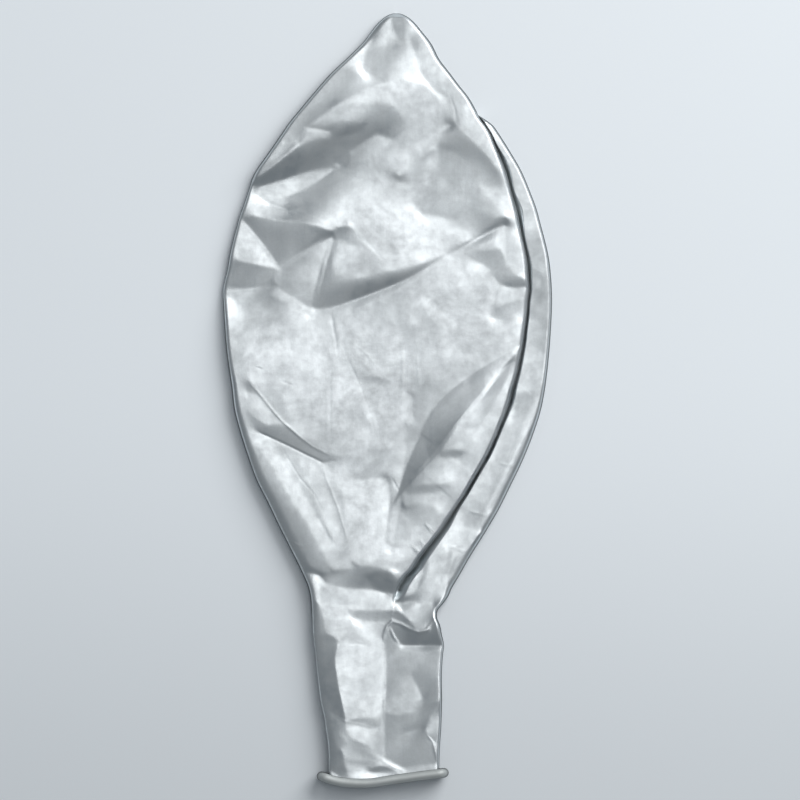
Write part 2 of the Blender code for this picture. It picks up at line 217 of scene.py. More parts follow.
LEFT_FACETS = (
    Facet("facet_a", (
        (244, 219, 46), (252, 216, 30), (275, 220, 21), (300, 222, 23), (318, 226, 32), (332, 233, 39),
        (318, 243, 37), (300, 254, 46), (290, 262, 39), (279, 269, 34), (262, 243, 34),
    )),
    Facet("facet_b", (
        (244, 225, -20), (255, 239, -20), (279, 268, -20), (262, 265, -14), (240, 260, -6), (237, 248, -5),
    )),
    Facet("facet_c", (
        (236, 261, 28), (255, 264, 34), (279, 269.5, 30), (273, 278, 26), (276, 286, 26), (265, 287, 28),
        (245, 289, 38), (225, 289.5, 54), (230, 278, 40),
    )),
    Facet("facet_e", (
        (332, 236, -22), (318, 244, -11), (300, 255, -4), (281, 270, 4), (274, 280, 4), (281, 289, 5),
        (295, 298, 8), (310, 308, 13), (315, 292, -1), (321, 270, -8), (328, 250, -17),
    )),
    Facet("ridge_f_shade", (
        (333, 240, 8), (345, 245, 4), (352, 262, 1), (345, 276, 6), (322, 283, 22), (318, 300, 32),
        (313, 307, 36), (317, 292, 32), (322, 272, 24), (328, 254, 12),
    )),
    Facet("crease_d_dark", (
        (318, 286, 21), (330, 283, 17), (350, 281, 17), (368, 277, 17), (385, 272, 14), (400, 269, 10),
        (425, 263, 6), (446, 254, 3), (424, 270, 21), (410, 277, 43), (400, 281, 58), (380, 289, 63),
        (360, 297, 58), (340, 305, 43), (325, 308, 32), (313, 308.5, 36),
    )),
    Facet("crease_d_right", (
        (444, 256, 18), (455, 247, 18), (470, 240, 22), (484, 226, 23), (490, 219, 18), (505, 217, 44),
        (508, 221, 47), (495, 228, 42), (475, 240, 34), (458, 250, 26),
    )),
    Facet("crease_d_rim_right", (
        (452, 253, -9), (470, 243.5, -14), (490, 233, -15), (505, 225, -12), (504, 234, -9), (480, 246, -7),
        (462, 254, -6),
    )),
    Facet("crease_d_rim_left", (
        (225, 290.5, -24), (255, 288.5, -21), (277, 287.5, -16), (295, 298.5, -11), (312, 310, -11),
        (312, 315, -3), (290, 303, -3), (270, 293, -4), (228, 296, -8),
    )),
    Facet("crease_d_rim_mid", (
        (312, 310, -12), (332, 309.5, -12), (370, 295.5, -14), (400, 283.5, -14), (430, 266, -12),
        (450, 254, -10), (450, 260, -7), (420, 278, -8), (380, 299, -8), (340, 314, -7),
    )),
    Facet("left_grey_below_d", ((232, 293, 6), (260, 293, 7), (262, 299, 3), (236, 300, 5))),
    Facet("small_wedge", (
        (337, 228, 30), (346, 226, 30), (353, 230, 14), (350, 240, 8), (341, 239, 16), (335, 233, 24),
    )),
    Facet("light_parallelogram", (
        (365, 243, -10), (384, 241, -11), (391, 250, -10), (392, 262, -7), (386, 262, -10), (377, 254, -10),
    )),
    Facet("light_strip", ((392, 252, -6), (400, 254, -7), (398, 266, -7), (393, 270, -8), (391, 264, -6))),
    Facet("grey_bowl", (
        (340, 246, 0), (365, 248, -1), (380, 262, -1), (376, 272, 2), (350, 276, 2), (335, 276, 2),
        (332, 258, 0),
    )),
    Facet("wedge_k", (
        (528, 286, 42), (515, 287.5, 38), (506, 286, 30), (498, 281, 16), (490, 269, 6), (505, 271, 10),
        (518, 277, 20), (527, 282, 36),
    )),
    Facet("below_wedge_k", (
        (527, 289, 3), (514, 290, 3), (500, 289, 3), (494, 297, 3), (508, 301, 7), (522, 297, 9),
    )),
    Facet("slash_light", ((488, 289, -10), (494, 278, -10), (496.5, 279, -6), (491, 289, -6))),
    Facet("soft_wedge", (
        (521, 298, 27), (508, 302, 23), (496, 309, 23), (491, 317, 11), (506, 320, 11), (515, 311, 19),
    )),
    Facet("right_grey_wedge", (
        (506, 228, 10), (512, 227, 14), (514, 246, 9), (516, 262, 7), (509, 266, 5), (506, 250, 7),
    )),
    Facet("below_rim_right_shade", (
        (478, 252, 14), (500, 250, 19), (505, 262, 14), (500, 272, 14), (480, 262, 12), (470, 258, 10),
    )),
)

MIDDLE_FACETS = (
    Facet("left_of_wedge_p", (
        (384, 398, -4), (402, 396, -4), (404, 430, -4), (402, 470, -4), (398, 448, -3), (380, 450, -3),
        (376, 430, -3),
    )),
    Facet("under_d_wedge", (
        (331, 311, 0), (345, 306, -2), (352, 311, -8), (345, 322, -10), (336, 330, -6), (333, 320, 0),
    )),
    Facet("grey_square", ((400, 325, 8), (416, 325, 8), (417, 336, 6), (400, 337, 4))),
    Facet("above_wedge_p", (
        (515, 350, 4), (500, 352, 4), (486, 357, 2), (474, 352, 0), (495, 334, 2), (518, 322, 5),
    )),
    Facet("right_flat_shade", (
        (440, 290, 0), (480, 276, 0), (486, 300, 0), (486, 325, 0), (462, 352, 0), (440, 330, 0),
    )),
    Facet("right_grey_patch", ((405, 338, 6), (436, 338, 5), (440, 347, 4), (420, 352, 4), (404, 350, 4))),
    Facet("light_bolt", (
        (424, 298, -10), (434, 305, -10), (456, 322, -8), (455, 334, -6), (445, 330, -8), (428, 312, -10),
    )),
    Facet("long_light_ray", (
        (348, 340, -4), (354, 342, -5), (386, 366, -4), (394, 380, -3), (380, 375, -3), (362, 360, -4),
    )),
    Facet("short_dark_band", (
        (361, 378.5, 11), (375, 377.5, 21), (389, 381, 9), (380, 384, 5), (365, 383.5, 5),
    )),
    Facet("grey_block", (
        (364, 385, -1), (398, 384, 0), (402, 405, -1), (400, 420, -3), (386, 425, -3), (377, 420, -2),
        (369, 403, 0),
    )),
    Facet("light_ray_two", (
        (358, 388, -10), (363, 390, -10), (374, 418, -9), (377, 432, -5), (373, 428, -6), (362, 402, -8),
    )),
    Facet("small_dark_band", ((398, 384, 4), (408, 385, 10), (420, 388, 2), (410, 391, 0), (400, 389, 0))),
    Facet("light_column", ((404, 394, -8), (410, 396, -6), (411, 420, -5), (406, 422, -6))),
    Facet("grey_low_middle", (
        (345, 430, -2), (368, 424, -2), (372, 436, -2), (350, 446, -2), (340, 442, -2),
    )),
    Facet("wedge_p", (
        (400.5, 491, 20), (410, 482, 28), (420, 471, 28), (430, 460, 28), (440, 449, 28), (450, 435, 28),
        (456, 426, 29), (463, 417, 31), (470, 409, 31), (477, 401, 29), (485, 390, 26), (493, 380, 23),
        (501, 370, 21), (512, 360, 21), (513, 353, 13), (500, 354, 12), (488, 360, 8), (475, 370, 8),
        (468, 385, 10), (455, 394, 10), (440, 402, 7), (428, 416, 8), (412, 430, 10), (407, 440, 10),
        (405, 460, 12), (402, 478, 13),
    )),
    Facet("wedge_p_low", (
        (400.5, 491, 14), (410, 482, 14), (420, 471, 14), (430, 460, 13), (424, 440, 10), (410, 440, 8),
        (405, 460, 10), (402, 478, 13),
    )),
    Facet("beside_wedge_light", (
        (402, 492, -10), (412, 483, -14), (440, 452, -14), (457, 427, -14), (479, 402, -14), (502, 371, -14),
        (512, 361, -12), (511, 372, -12), (498, 396, -12), (480, 426, -12), (462, 455, -12), (445, 480, -12),
        (425, 500, -10), (405, 505, -8),
    )),
    Facet("grey_band_one", (
        (438, 452, 0), (455, 449, 10), (468, 452, 6), (466, 458, 2), (450, 458, 4), (440, 457, 0),
    )),
    Facet("grey_band_two", (
        (402, 488, 3), (425, 484, 7), (447, 484, 5), (450, 488, 1), (430, 493, 7), (408, 495, 3),
    )),
    Facet("right_edge_fold", (
        (512, 362, 14), (516, 362, 12), (511, 378, 16), (506, 392, 16), (503, 404, 12), (506, 388, 8),
        (509, 374, 10),
    )),
    Facet("peak_wedge", (
        (249.5, 383, 30), (254, 391, 12), (250, 392.5, 6), (246.5, 391, 8), (247.5, 386, 20),
    )),
    Facet("peak_left_grey", (
        (250, 394, -9), (262, 400, -9), (278, 420, -9), (268, 424, -9), (252, 412, -9),
    )),
    Facet("peak_right_grey", ((268, 385, 1), (283, 402, 2), (290, 420, 2), (282, 421, 2), (270, 404, 2))),
    Facet("sliver_m", (
        (256.5, 431, 30), (268, 427, 16), (278, 425, 13), (288, 428, 13), (300, 437, 13), (312, 446, 14),
        (325, 453.5, 15), (338, 457, 13), (352, 456.5, 7), (340, 460, 7), (323, 462.5, 14), (308, 456, 16),
        (290, 447, 19), (275, 440, 23), (263, 434, 27),
    )),
    Facet("under_sliver_light", (
        (256, 432, -14), (270, 438.5, -14), (290, 447.5, -15), (308, 457, -15), (322, 464, -11),
        (318, 467, -4), (295, 456, -4), (275, 447, -4), (260, 440, -7),
    )),
)

LOWER_FACETS = (
    Facet("above_valley", (
        (358, 556, -4), (384, 552, -4), (400, 560, 0), (400, 568, 2), (388, 568, 4), (375, 566, 4),
        (360, 566, 0),
    )),
    Facet("above_throat_left", (
        (322, 540, -9), (340, 544, -9), (352, 556, -9), (350, 567, -7), (334, 569, -7), (322, 562, -8),
    )),
    Facet("left_low_shade", (
        (247, 452, 10), (258, 478, 19), (271, 504, 24), (286, 530, 28), (299, 556, 29), (316, 571, 20),
        (330, 572, 2), (326, 558, 1), (318, 543, 1), (310, 525, 0), (298, 508, -1), (284, 490, -1),
        (270, 468, -1), (258, 448, -1),
    )),
    Facet("low_ray_one", (
        (264, 446, -12), (278, 455, -14), (300, 492, -16), (322, 530, -16), (338, 562, -12), (330, 562, -12),
        (312, 532, -12), (290, 495, -12),
    )),
    Facet("low_ray_grey", (
        (282, 450, -5), (292, 458, -4), (305, 478, -4), (318, 500, -4), (322, 512, -4), (312, 496, -4),
        (298, 476, -4),
    )),
    Facet("low_ray_two", (
        (300, 456, -13), (312, 462, -13), (322, 482, -15), (336, 520, -15), (347, 548, -9), (338, 545, -11),
        (322, 512, -13), (308, 478, -13),
    )),
    Facet("low_ray_shade", (
        (324, 464, -8), (330, 474, -7), (338, 500, -7), (345, 520, -7), (352, 545, -8), (345, 545, -8),
        (338, 520, -7), (328, 488, -7),
    )),
    Facet("band_n", (
        (350, 470, 4), (353, 463, 4), (365, 458, 4), (380, 452, 4), (396, 448, 4), (399, 452, 1),
        (396, 461, 4), (385, 470, 5), (370, 477, 2), (355, 476, 0),
    )),
    Facet("low_plain_light", (
        (345, 484, -18), (385, 480, -20), (388, 500, -20), (384, 545, -18), (372, 562, -15), (350, 560, -15),
        (347, 530, -17),
    )),
    Facet("ridge_left_grey", (
        (391, 478, -5), (397, 490, -3), (394, 502, -3), (390, 518, -2), (387, 538, -2), (390, 545, -3),
        (393, 528, -3), (397, 508, -3), (399, 494, -3),
    )),
    Facet("ridge_right_light", (
        (399, 495, -13), (401, 497, -10), (398, 512, -8), (394, 530, -7), (390, 548, -5), (389, 546, -7),
        (393, 526, -11), (396, 510, -12),
    )),
    Facet("low_right_grey", (
        (402, 512, 0), (432, 508, 2), (440, 516, 5), (420, 545, 7), (405, 566, 7), (390, 566, 3),
        (392, 548, 1), (398, 530, 0),
    )),
    Facet("left_notch_dark", (
        (294, 555, 50), (303, 561, 55), (312, 568, 60), (320, 572.5, 50), (312, 574, 40), (303, 569, 30),
    )),
    Facet("left_notch_light", (
        (301, 571, -44), (318, 575.5, -37), (325, 584, -18), (322, 600, -11), (312, 598, -23),
        (306, 584, -40),
    )),
    Facet("throat_valley", (
        (322, 577, 9), (340, 574, 10), (350, 570, 12), (362, 567, 19), (375, 567, 26), (387, 569, 31),
        (394, 576, 39), (399, 588, 46), (396, 592, 46), (385, 591, 39), (370, 589, 29), (350, 588, 17),
        (335, 585, 12),
    )),
    Facet("throat_valley_core", (
        (366, 574, 52), (378, 571, 57), (388, 573, 62), (393, 582, 67), (396, 591, 72), (385, 590, 67),
        (372, 587, 57),
    )),
    Facet("throat_light", (
        (320, 585, 0), (345, 589.5, -3), (370, 592, -5), (390, 597.5, -7), (401, 600, -3), (385, 608, 1),
        (345, 606, 2), (320, 602, 2),
    )),
    Facet("pocket_outer_shade", (
        (393, 598, 67), (402, 599, 76), (411, 595, 76), (418, 585, 67), (421, 570, 53), (428, 560, 45),
        (433, 566, 18), (426, 588, 14), (416, 601, 18), (402, 604, 22),
    )),
    Facet("throat_crossband", (
        (345, 610, 12), (370, 611, 18), (385, 611, 24), (396, 611, 40), (404, 616, 36), (414, 627, 20),
        (408, 627, 16), (398, 620, 30), (385, 620, 20), (365, 619, 12), (350, 616, 10),
    )),
    Facet("right_shoulder_flat", (
        (402, 603, -9), (428, 600, -9), (436, 603, -9), (436, 614, -9), (424, 629, -9), (416, 626, -9),
        (405, 614, -9),
    )),
    Facet("right_flank_light", (
        (428, 560, 26), (444, 548, 11), (452, 556, 26), (448, 580, 29), (440, 603, 22), (436, 610, 20),
        (432, 600, 22), (434, 580, 20),
    )),
)

NECK_FACETS = (
    Facet("neck_top_light", (
        (322, 604, -3), (345, 606, -5), (350, 616, -5), (352, 634, -5), (339, 641, -3), (333, 635, -3),
        (326, 630, -3), (324, 616, -3),
    )),
    Facet("neck_left_upper", (
        (312, 604, 30), (318, 603, 14), (322, 615, 14), (325, 630, 16), (324, 636, 20), (314, 636, 30),
    )),
    Facet("neck_cross_dark", (
        (314, 636, 40), (325, 634, 32), (333, 636, 32), (339, 641, 40), (336, 645, 32), (325, 643, 32),
        (314, 643, 40),
    )),
    Facet("neck_left_dark", (
        (314, 643, 40), (330, 644, 32), (337, 646, 30), (335, 655, 32), (334, 662, 32), (336, 675, 36),
        (338, 690, 40), (341, 700, 42), (343, 710, 44), (347, 721, 40), (336, 715, 42), (325, 707, 36),
        (321, 704, 40), (318, 680, 40),
    )),
    Facet("neck_left_mid", (
        (321, 706, 32), (336, 716, 22), (346, 722, 12), (342, 728, 12), (338, 735, 16), (345, 742, 12),
        (340, 748, 20), (330, 745, 30), (324, 722, 36),
    )),
    Facet("neck_left_low", (
        (325, 724, 40), (333, 735, 34), (336, 746, 34), (341, 752, 30), (343, 765, 30), (346, 775, 34),
        (340, 775, 36), (330, 768, 40), (328, 750, 40),
    )),
    Facet("neck_panel_light", (
        (339, 646, -16), (350, 642, -12), (380, 640, -18), (384, 642, -24), (383, 690, -24), (382, 755, -24),
        (372, 745, -14), (350, 735, -11), (346, 722, -12), (342, 700, -16), (338, 675, -18), (336, 660, -18),
    )),
    Facet("neck_panel_cross", ((348, 721, 10), (360, 717, 8), (375, 718, 4), (378, 728, 4), (366, 727, 6))),
    Facet("neck_panel_low_shade", (
        (344, 748, 3), (352, 749, 7), (365, 752, 9), (380, 761, 9), (370, 758, 1), (355, 753, 1),
        (345, 753, -1),
    )),
    Facet("neck_panel_low_two", (
        (344, 761, 8), (355, 761, 8), (380, 763, 10), (366, 765, 2), (350, 763.5, 2),
    )),
    Facet("neck_right_panel", (
        (385, 628, 18), (388, 632, 18), (392, 640, 14), (399, 648, 13), (420, 652, 9), (441, 652, 9),
        (441, 700, 14), (430, 715, 16), (424, 729, 16), (428, 740, 14), (434, 750, 13), (436, 766, 13),
        (412, 770, 14), (398, 764, 16), (384, 757, 20), (384, 700, 13), (386, 690, 18), (385, 650, 18),
    )),
    Facet("neck_right_light", (
        (396, 690, -4), (410, 672, -4), (424, 700, -4), (412, 712, -4), (398, 715, -4), (385, 712, -5),
        (385, 699, -5),
    )),
    Facet("neck_right_diagonal", (
        (440, 700, 36), (441, 703, 38), (432, 716, 42), (425, 728, 44), (414, 730, 32), (402, 735, 28),
        (404, 728, 26), (415, 720, 30), (425, 704, 30),
    )),
    Facet("neck_right_wedge", (
        (441, 705, 2), (441, 735, 16), (436, 742, 16), (430, 736, 12), (425, 730, -14), (430, 719, -12),
    )),
    Facet("neck_black_facet", (
        (402, 645, 81), (408, 634, 75), (420, 632.5, 75), (430, 630, 75), (437, 614, 52), (440.5, 622, 60),
        (444, 645, 81),
    )),
    Facet("neck_black_left", (
        (389, 624, 30), (397, 627, 28), (408, 634, 34), (402, 643, 40), (396, 636, 30),
    )),
    Facet("neck_black_rim", ((400, 646.5, -18), (443, 645.5, -18), (443, 650, -7), (403, 651, -7))),
    Facet("mouth_lens", (
        (368, 771, 34), (376, 768, 36), (384, 766.5, 36), (392, 768, 36), (399, 770.5, 30), (385, 772, 24),
    )),
    Facet("mouth_ridge_light", (
        (381, 761, -10), (384, 760, -20), (395, 766, -24), (406, 772, -20), (402, 772, -14), (390, 768, -14),
    )),
)

STRIP_FACETS = (
    Facet("pocket_light_cut", (
        (404, 590, 18), (410, 576, 18), (420, 566, 18), (424, 572, 18), (416, 590, 18), (408, 598, 18),
    )),
    Facet("strip_long_shade", (
        (530, 240, 8), (545, 240, 12), (552, 290, 14), (550, 345, 15), (541, 390, 16), (526, 430, 20),
        (508, 470, 22), (490, 503, 22), (470, 532, 20), (455, 545, 8), (462, 515, 8), (490, 470, 9),
        (512, 420, 9), (526, 370, 9), (531, 320, 8),
    )),
    Facet("strip_top_light", (
        (501, 150, -6), (507, 152, -6), (519, 170, -6), (530, 192, -6), (540, 216, -3), (536, 216, -3),
        (526, 200, 0), (514, 170, -3),
    )),
    Facet("strip_pleat_one", (
        (532, 270, 31), (540, 270, 26), (545, 278, 21), (546, 291, 23), (541, 299, 26), (535, 300, 23),
        (533, 285, 18),
    )),
    Facet("strip_pleat_light", ((537, 279, 4), (541, 280, 4), (540, 287, 4), (536, 287, 4))),
    Facet("strip_pleat_two", ((531, 310, 26), (537, 310, 16), (538, 318, 10), (532, 322, 16))),
    Facet("strip_pleat_three", (
        (536, 376, 14), (539, 385, 22), (534, 398, 36), (522, 404, 36), (514, 412, 28), (518, 395, 22),
        (528, 388, 22),
    )),
    Facet("strip_grey_block", (
        (466, 516, 17), (490, 515, 17), (488, 528, 17), (468, 530, 17), (462, 524, 11),
    )),
    Facet("strip_low_ridge", (
        (462, 516, -5), (466, 518, -3), (456, 538, -5), (446, 560, -6), (440, 575, -4), (438, 570, -4),
        (448, 545, -7),
    )),
    Facet("strip_low_dark", (
        (476, 535, 30), (487, 536, 36), (473, 557, 39), (463, 572, 36), (453, 584, 30), (447, 580, 18),
        (458, 558, 21),
    )),
    Facet("pocket_outer_flat", (
        (416, 601, 16), (426, 588, 16), (433, 566, 14), (440, 560, 12), (440, 580, 14), (432, 600, 14),
        (420, 606, 12),
    )),
    Facet("strip_low_grey", ((446, 575, 10), (458, 572, 10), (452, 582, 8), (444, 582, 6))),
)

# How softly each group of facets passes into the film round it, in millimetres
FACET_GROUPS = (
    FacetGroup(0.9, CROWN_FACETS),
    FacetGroup(0.7, SHOULDER_FACETS),
    FacetGroup(0.9, FAN_FACETS),
    FacetGroup(0.5, LEFT_FACETS),
    FacetGroup(0.6, MIDDLE_FACETS),
    FacetGroup(0.8, LOWER_FACETS),
    FacetGroup(0.6, NECK_FACETS),
    FacetGroup(0.8, STRIP_FACETS),
)

CREASES = (
    Crease("hairline_one", -0.14, 0.35, ((385, 146), (396, 137), (408, 127))),
    Crease("hairline_two", -0.14, 0.35, ((376, 198), (383, 193), (390, 188))),
    Crease("shoulder_seam", 0.04, 0.6, (
        (256, 196), (270, 201), (290, 208), (305, 214), (320, 220), (331, 231),
    )),
    Crease("fan_apex_line", -0.08, 0.5, ((450, 95), (455, 110), (457, 126))),
    Crease("edge_tick", -0.12, 0.4, ((303, 127), (318, 129), (331, 132))),
    Crease("ridge_b", 0.12, 0.7, ((244, 223), (262, 245), (279, 269))),
    Crease("ridge_f", 0.22, 0.7, (
        (332, 235), (329, 248), (325, 260), (322, 272), (319, 283), (316, 295), (313, 306),
    )),
    Crease("ridge_e", 0.15, 0.6, ((331, 234), (310, 249), (295, 259), (279, 270))),
    Crease("bowl_line", -0.04, 0.5, ((366, 240), (378, 254), (388, 265))),
    Crease("line_under_d", -0.12, 0.5, ((331, 312), (333, 325), (336, 340), (338, 355))),
    Crease("long_line_one", -0.06, 0.5, (
        (340, 337), (345, 352), (352, 368), (360, 385), (366, 402), (372, 420), (376, 440),
    )),
    Crease("long_line_two", -0.08, 0.5, ((330, 365), (330, 395), (330, 425), (331, 448))),
    Crease("small_cross_one", -0.07, 0.4, ((281, 381), (289, 384), (297, 386))),
    Crease("small_cross_two", -0.15, 0.4, ((256, 369), (262, 368))),
    Crease("ray_line", 0.04, 0.5, ((350, 341), (365, 352), (381, 372))),
    Crease("column_one", 0.05, 0.6, ((402, 340), (403, 365), (402, 390))),
    Crease("column_two", 0.05, 0.6, ((417, 355), (418, 372), (419, 390))),
    Crease("peak_ridge", 0.16, 0.6, (
        (250, 383), (258, 392), (266, 402), (274, 412), (282, 421), (300, 437), (312, 446), (331, 456),
    )),
    Crease("sliver_lip", -0.25, 0.5, (
        (257, 431.5), (275, 439.5), (290, 446.5), (308, 455.5), (323, 462.5), (336, 460),
    )),
    Crease("low_line_one", 0.08, 0.6, (
        (323, 464), (325, 475), (331, 490), (338, 508), (343, 525), (348, 541),
    )),
    Crease("low_line_two", -0.05, 0.5, ((280, 445), (300, 478), (315, 495), (323, 512))),
    Crease("meeting_line", -0.1, 0.5, ((392, 478), (396, 486), (400, 492))),
    Crease("wedge_crease", -0.14, 0.5, (
        (401, 491), (420, 471), (440, 449), (456, 426), (477, 401), (501, 370), (515, 358),
    )),
    Crease("scratch_one", 0.25, 0.3, ((425, 523), (430, 529), (434, 534))),
    Crease("scratch_two", 0.25, 0.3, ((411, 545), (416, 550), (421, 555))),
    Crease("scratch_three", 0.2, 0.3, ((420, 540), (425, 548))),
    Crease("wedge_rise", 2.7, 15, (
        (392, 506), (420, 471), (440, 449), (456, 426), (477, 401), (501, 370), (526, 340),
    ), 26),
    Crease("pocket_rim", 0.1, 0.6, (
        (386, 591), (390, 595), (396, 597), (402, 596), (408, 592), (413, 584), (416, 575),
    )),
    Crease("ridge_z", 0.4, 0.8, (
        (383, 642), (384, 634), (387, 626), (392, 621), (401, 624), (410, 629), (419, 632), (427, 630),
        (436, 616),
    )),
    Crease("inner_ridge", 0.2, 0.6, ((389, 626), (394, 637), (400, 645))),
    Crease("neck_ridge", 0.1, 0.8, ((384, 640), (384, 680), (383, 720), (382, 760))),
    Crease("neck_short_crease", -0.08, 0.4, ((348, 644), (358, 643.5), (367, 645))),
    Crease("neck_node_line", 0.06, 0.6, ((336, 716), (346, 721.5), (360, 724), (374, 728))),
    Crease("mouth_ridge", 0.12, 0.6, ((382, 761), (394, 767), (406, 772))),
    Crease("strip_scratch_one", 0.2, 0.4, ((469, 511), (477, 513), (486, 515))),
    Crease("strip_scratch_two", 0.2, 0.4, ((449, 546), (458, 549), (466, 552))),
    Crease("strip_scratch_three", 0.15, 0.4, ((499, 463), (507, 465), (516, 466))),
    Crease("neck_curl_one", 0.2, 0.4, ((427, 735), (433, 742), (436, 755), (438, 765))),
    Crease("left_scratch", 0.2, 0.3, ((292, 541), (297, 545), (303, 545))),
)

# Outlines, read down the photograph from the crown to the mouth as (row, column)
LEFT_EDGE = (
    (30, 372), (42, 363), (55, 350), (74, 330), (91, 315), (109, 300), (121, 290), (137, 279),
    (150, 270), (160, 263), (170, 256), (178, 252), (185, 250), (200, 245), (217, 239), (228, 236),
    (243, 232), (257, 229), (270, 227), (283, 224), (290, 223), (300, 223), (322, 224), (350, 226),
    (372, 229), (385, 231), (410, 234), (433, 240), (455, 247), (480, 256), (502, 267), (525, 278),
    (549, 290), (569, 300), (580, 305), (588, 308), (598, 310), (610, 311), (635, 313), (650, 315),
    (670, 317), (690, 319), (706, 321), (720, 324), (735, 326), (750, 328), (790, 329),
)
RIGHT_EDGE = (
    (30, 421), (43, 431), (60, 440), (73, 450), (85, 459), (97, 470), (110, 480), (121, 490),
    (135, 500), (151, 510), (168, 520), (191, 530), (210, 537), (225, 541), (240, 545), (258, 549),
    (275, 551), (290, 552), (310, 552), (330, 551), (345, 550), (375, 547), (390, 545), (410, 541),
    (435, 533), (460, 523), (487, 510), (511, 498), (533, 485), (557, 470), (578, 458), (588, 452),
    (597, 448), (604, 443), (610, 438), (617, 437), (625, 440), (635, 442), (645, 444), (655, 443),
    (670, 442), (710, 442), (740, 441), (755, 440), (790, 439),
)
FOLD_EDGE = (
    (30, 421), (43, 431), (60, 440), (73, 450), (85, 459), (97, 468.5), (110, 476), (118, 480),
    (125, 485), (133, 490), (145, 495), (157, 500), (170, 505), (195, 512), (218, 518), (232, 521),
    (245, 524), (262, 527), (275, 528), (290, 529), (300, 528), (315, 527), (330, 525), (345, 523),
    (360, 520), (374, 517), (388, 513), (400, 510), (415, 505), (428, 500), (442, 494), (455, 488),
    (469, 480), (483, 472), (495, 465), (505, 458), (517, 450), (529, 442), (538, 435), (548, 427),
    (560, 418), (568, 413), (577, 405), (588, 398), (598, 394.5), (610, 393), (621, 391), (627, 387),
    (634, 384.5), (645, 384), (680, 384), (720, 383), (760, 382), (790, 382),
)
# How far the shadow beside the fold edge reaches over the rear lobe, as (row, pixels)
FOLD_GAP = (
    (118, 1), (145, 3), (160, 7), (175, 7), (190, 5), (210, 9), (220, 7), (240, 4), (270, 6),
    (290, 4), (310, 3), (350, 4), (390, 5), (402, 6), (420, 4), (460, 4), (480, 3.5), (500, 4),
    (512, 6), (525, 9), (540, 11), (560, 13), (580, 14), (598, 14),
)
# How far each outer edge takes to turn up to the flat of the film, as (row, pixels)
LEFT_TURN = (
    (20, 8), (60, 6), (170, 5), (210, 5), (300, 5), (370, 6), (450, 10), (520, 12), (565, 12),
    (600, 9), (640, 9), (770, 8),
)
RIGHT_TURN = (
    (20, 6), (120, 5), (200, 4), (300, 4), (420, 5), (500, 7), (560, 8), (605, 5), (640, 4), (770, 4),
)
# Height of the flat of the front film and of the rear film's strip, as (row, millimetres)
FRONT_LEVEL = (
    (14, 5.2), (22, 6.3), (32, 7.1), (45, 7.7), (110, 8.7), (200, 9.6), (300, 9.9), (480, 9.9),
    (590, 9.9), (640, 10.4), (790, 10.4),
)
STRIP_LEVEL = (
    (110, 6.4), (300, 7.0), (480, 7.3), (560, 8.3), (592, 9.6), (620, 10.2), (640, 10.4), (790, 10.4),
)
# The mouth's rolled rim along its middle line, as (column, row)
MOUTH_LINE = ((321, 776), (333, 780), (350, 782.7), (365, 783), (395, 779), (425, 775), (446, 772.5))


def smooth_line(at: Grid, readings: tuple[tuple[float, float], ...]) -> Grid:
    """Return a smooth curve through some readings.

    Args:
        at: Where the curve is wanted, in the readings' first column.
        readings: Pairs in rising order of the first column.

    Returns:
        The curve's value at each place, held level past the ends.
    """
    keys, values = np.array(readings, float).T
    slopes = np.gradient(values, keys)
    place = np.clip(at, keys[0], keys[-1])
    i = np.clip(np.searchsorted(keys, place) - 1, 0, len(keys) - 2)
    width = keys[i + 1] - keys[i]
    t = (place - keys[i]) / width
    start = (1 + 2 * t) * (1 - t) ** 2 * values[i] + t * (1 - t) ** 2 * width * slopes[i]
    end = t * t * (3 - 2 * t) * values[i + 1] + t * t * (t - 1) * width * slopes[i + 1]
    return start + end


def smooth_step(value: Grid) -> Grid:
    """Return 0 below 0, 1 above 1 and an even turn between them."""
    t = np.clip(value, 0, 1)
    return t * t * (3 - 2 * t)


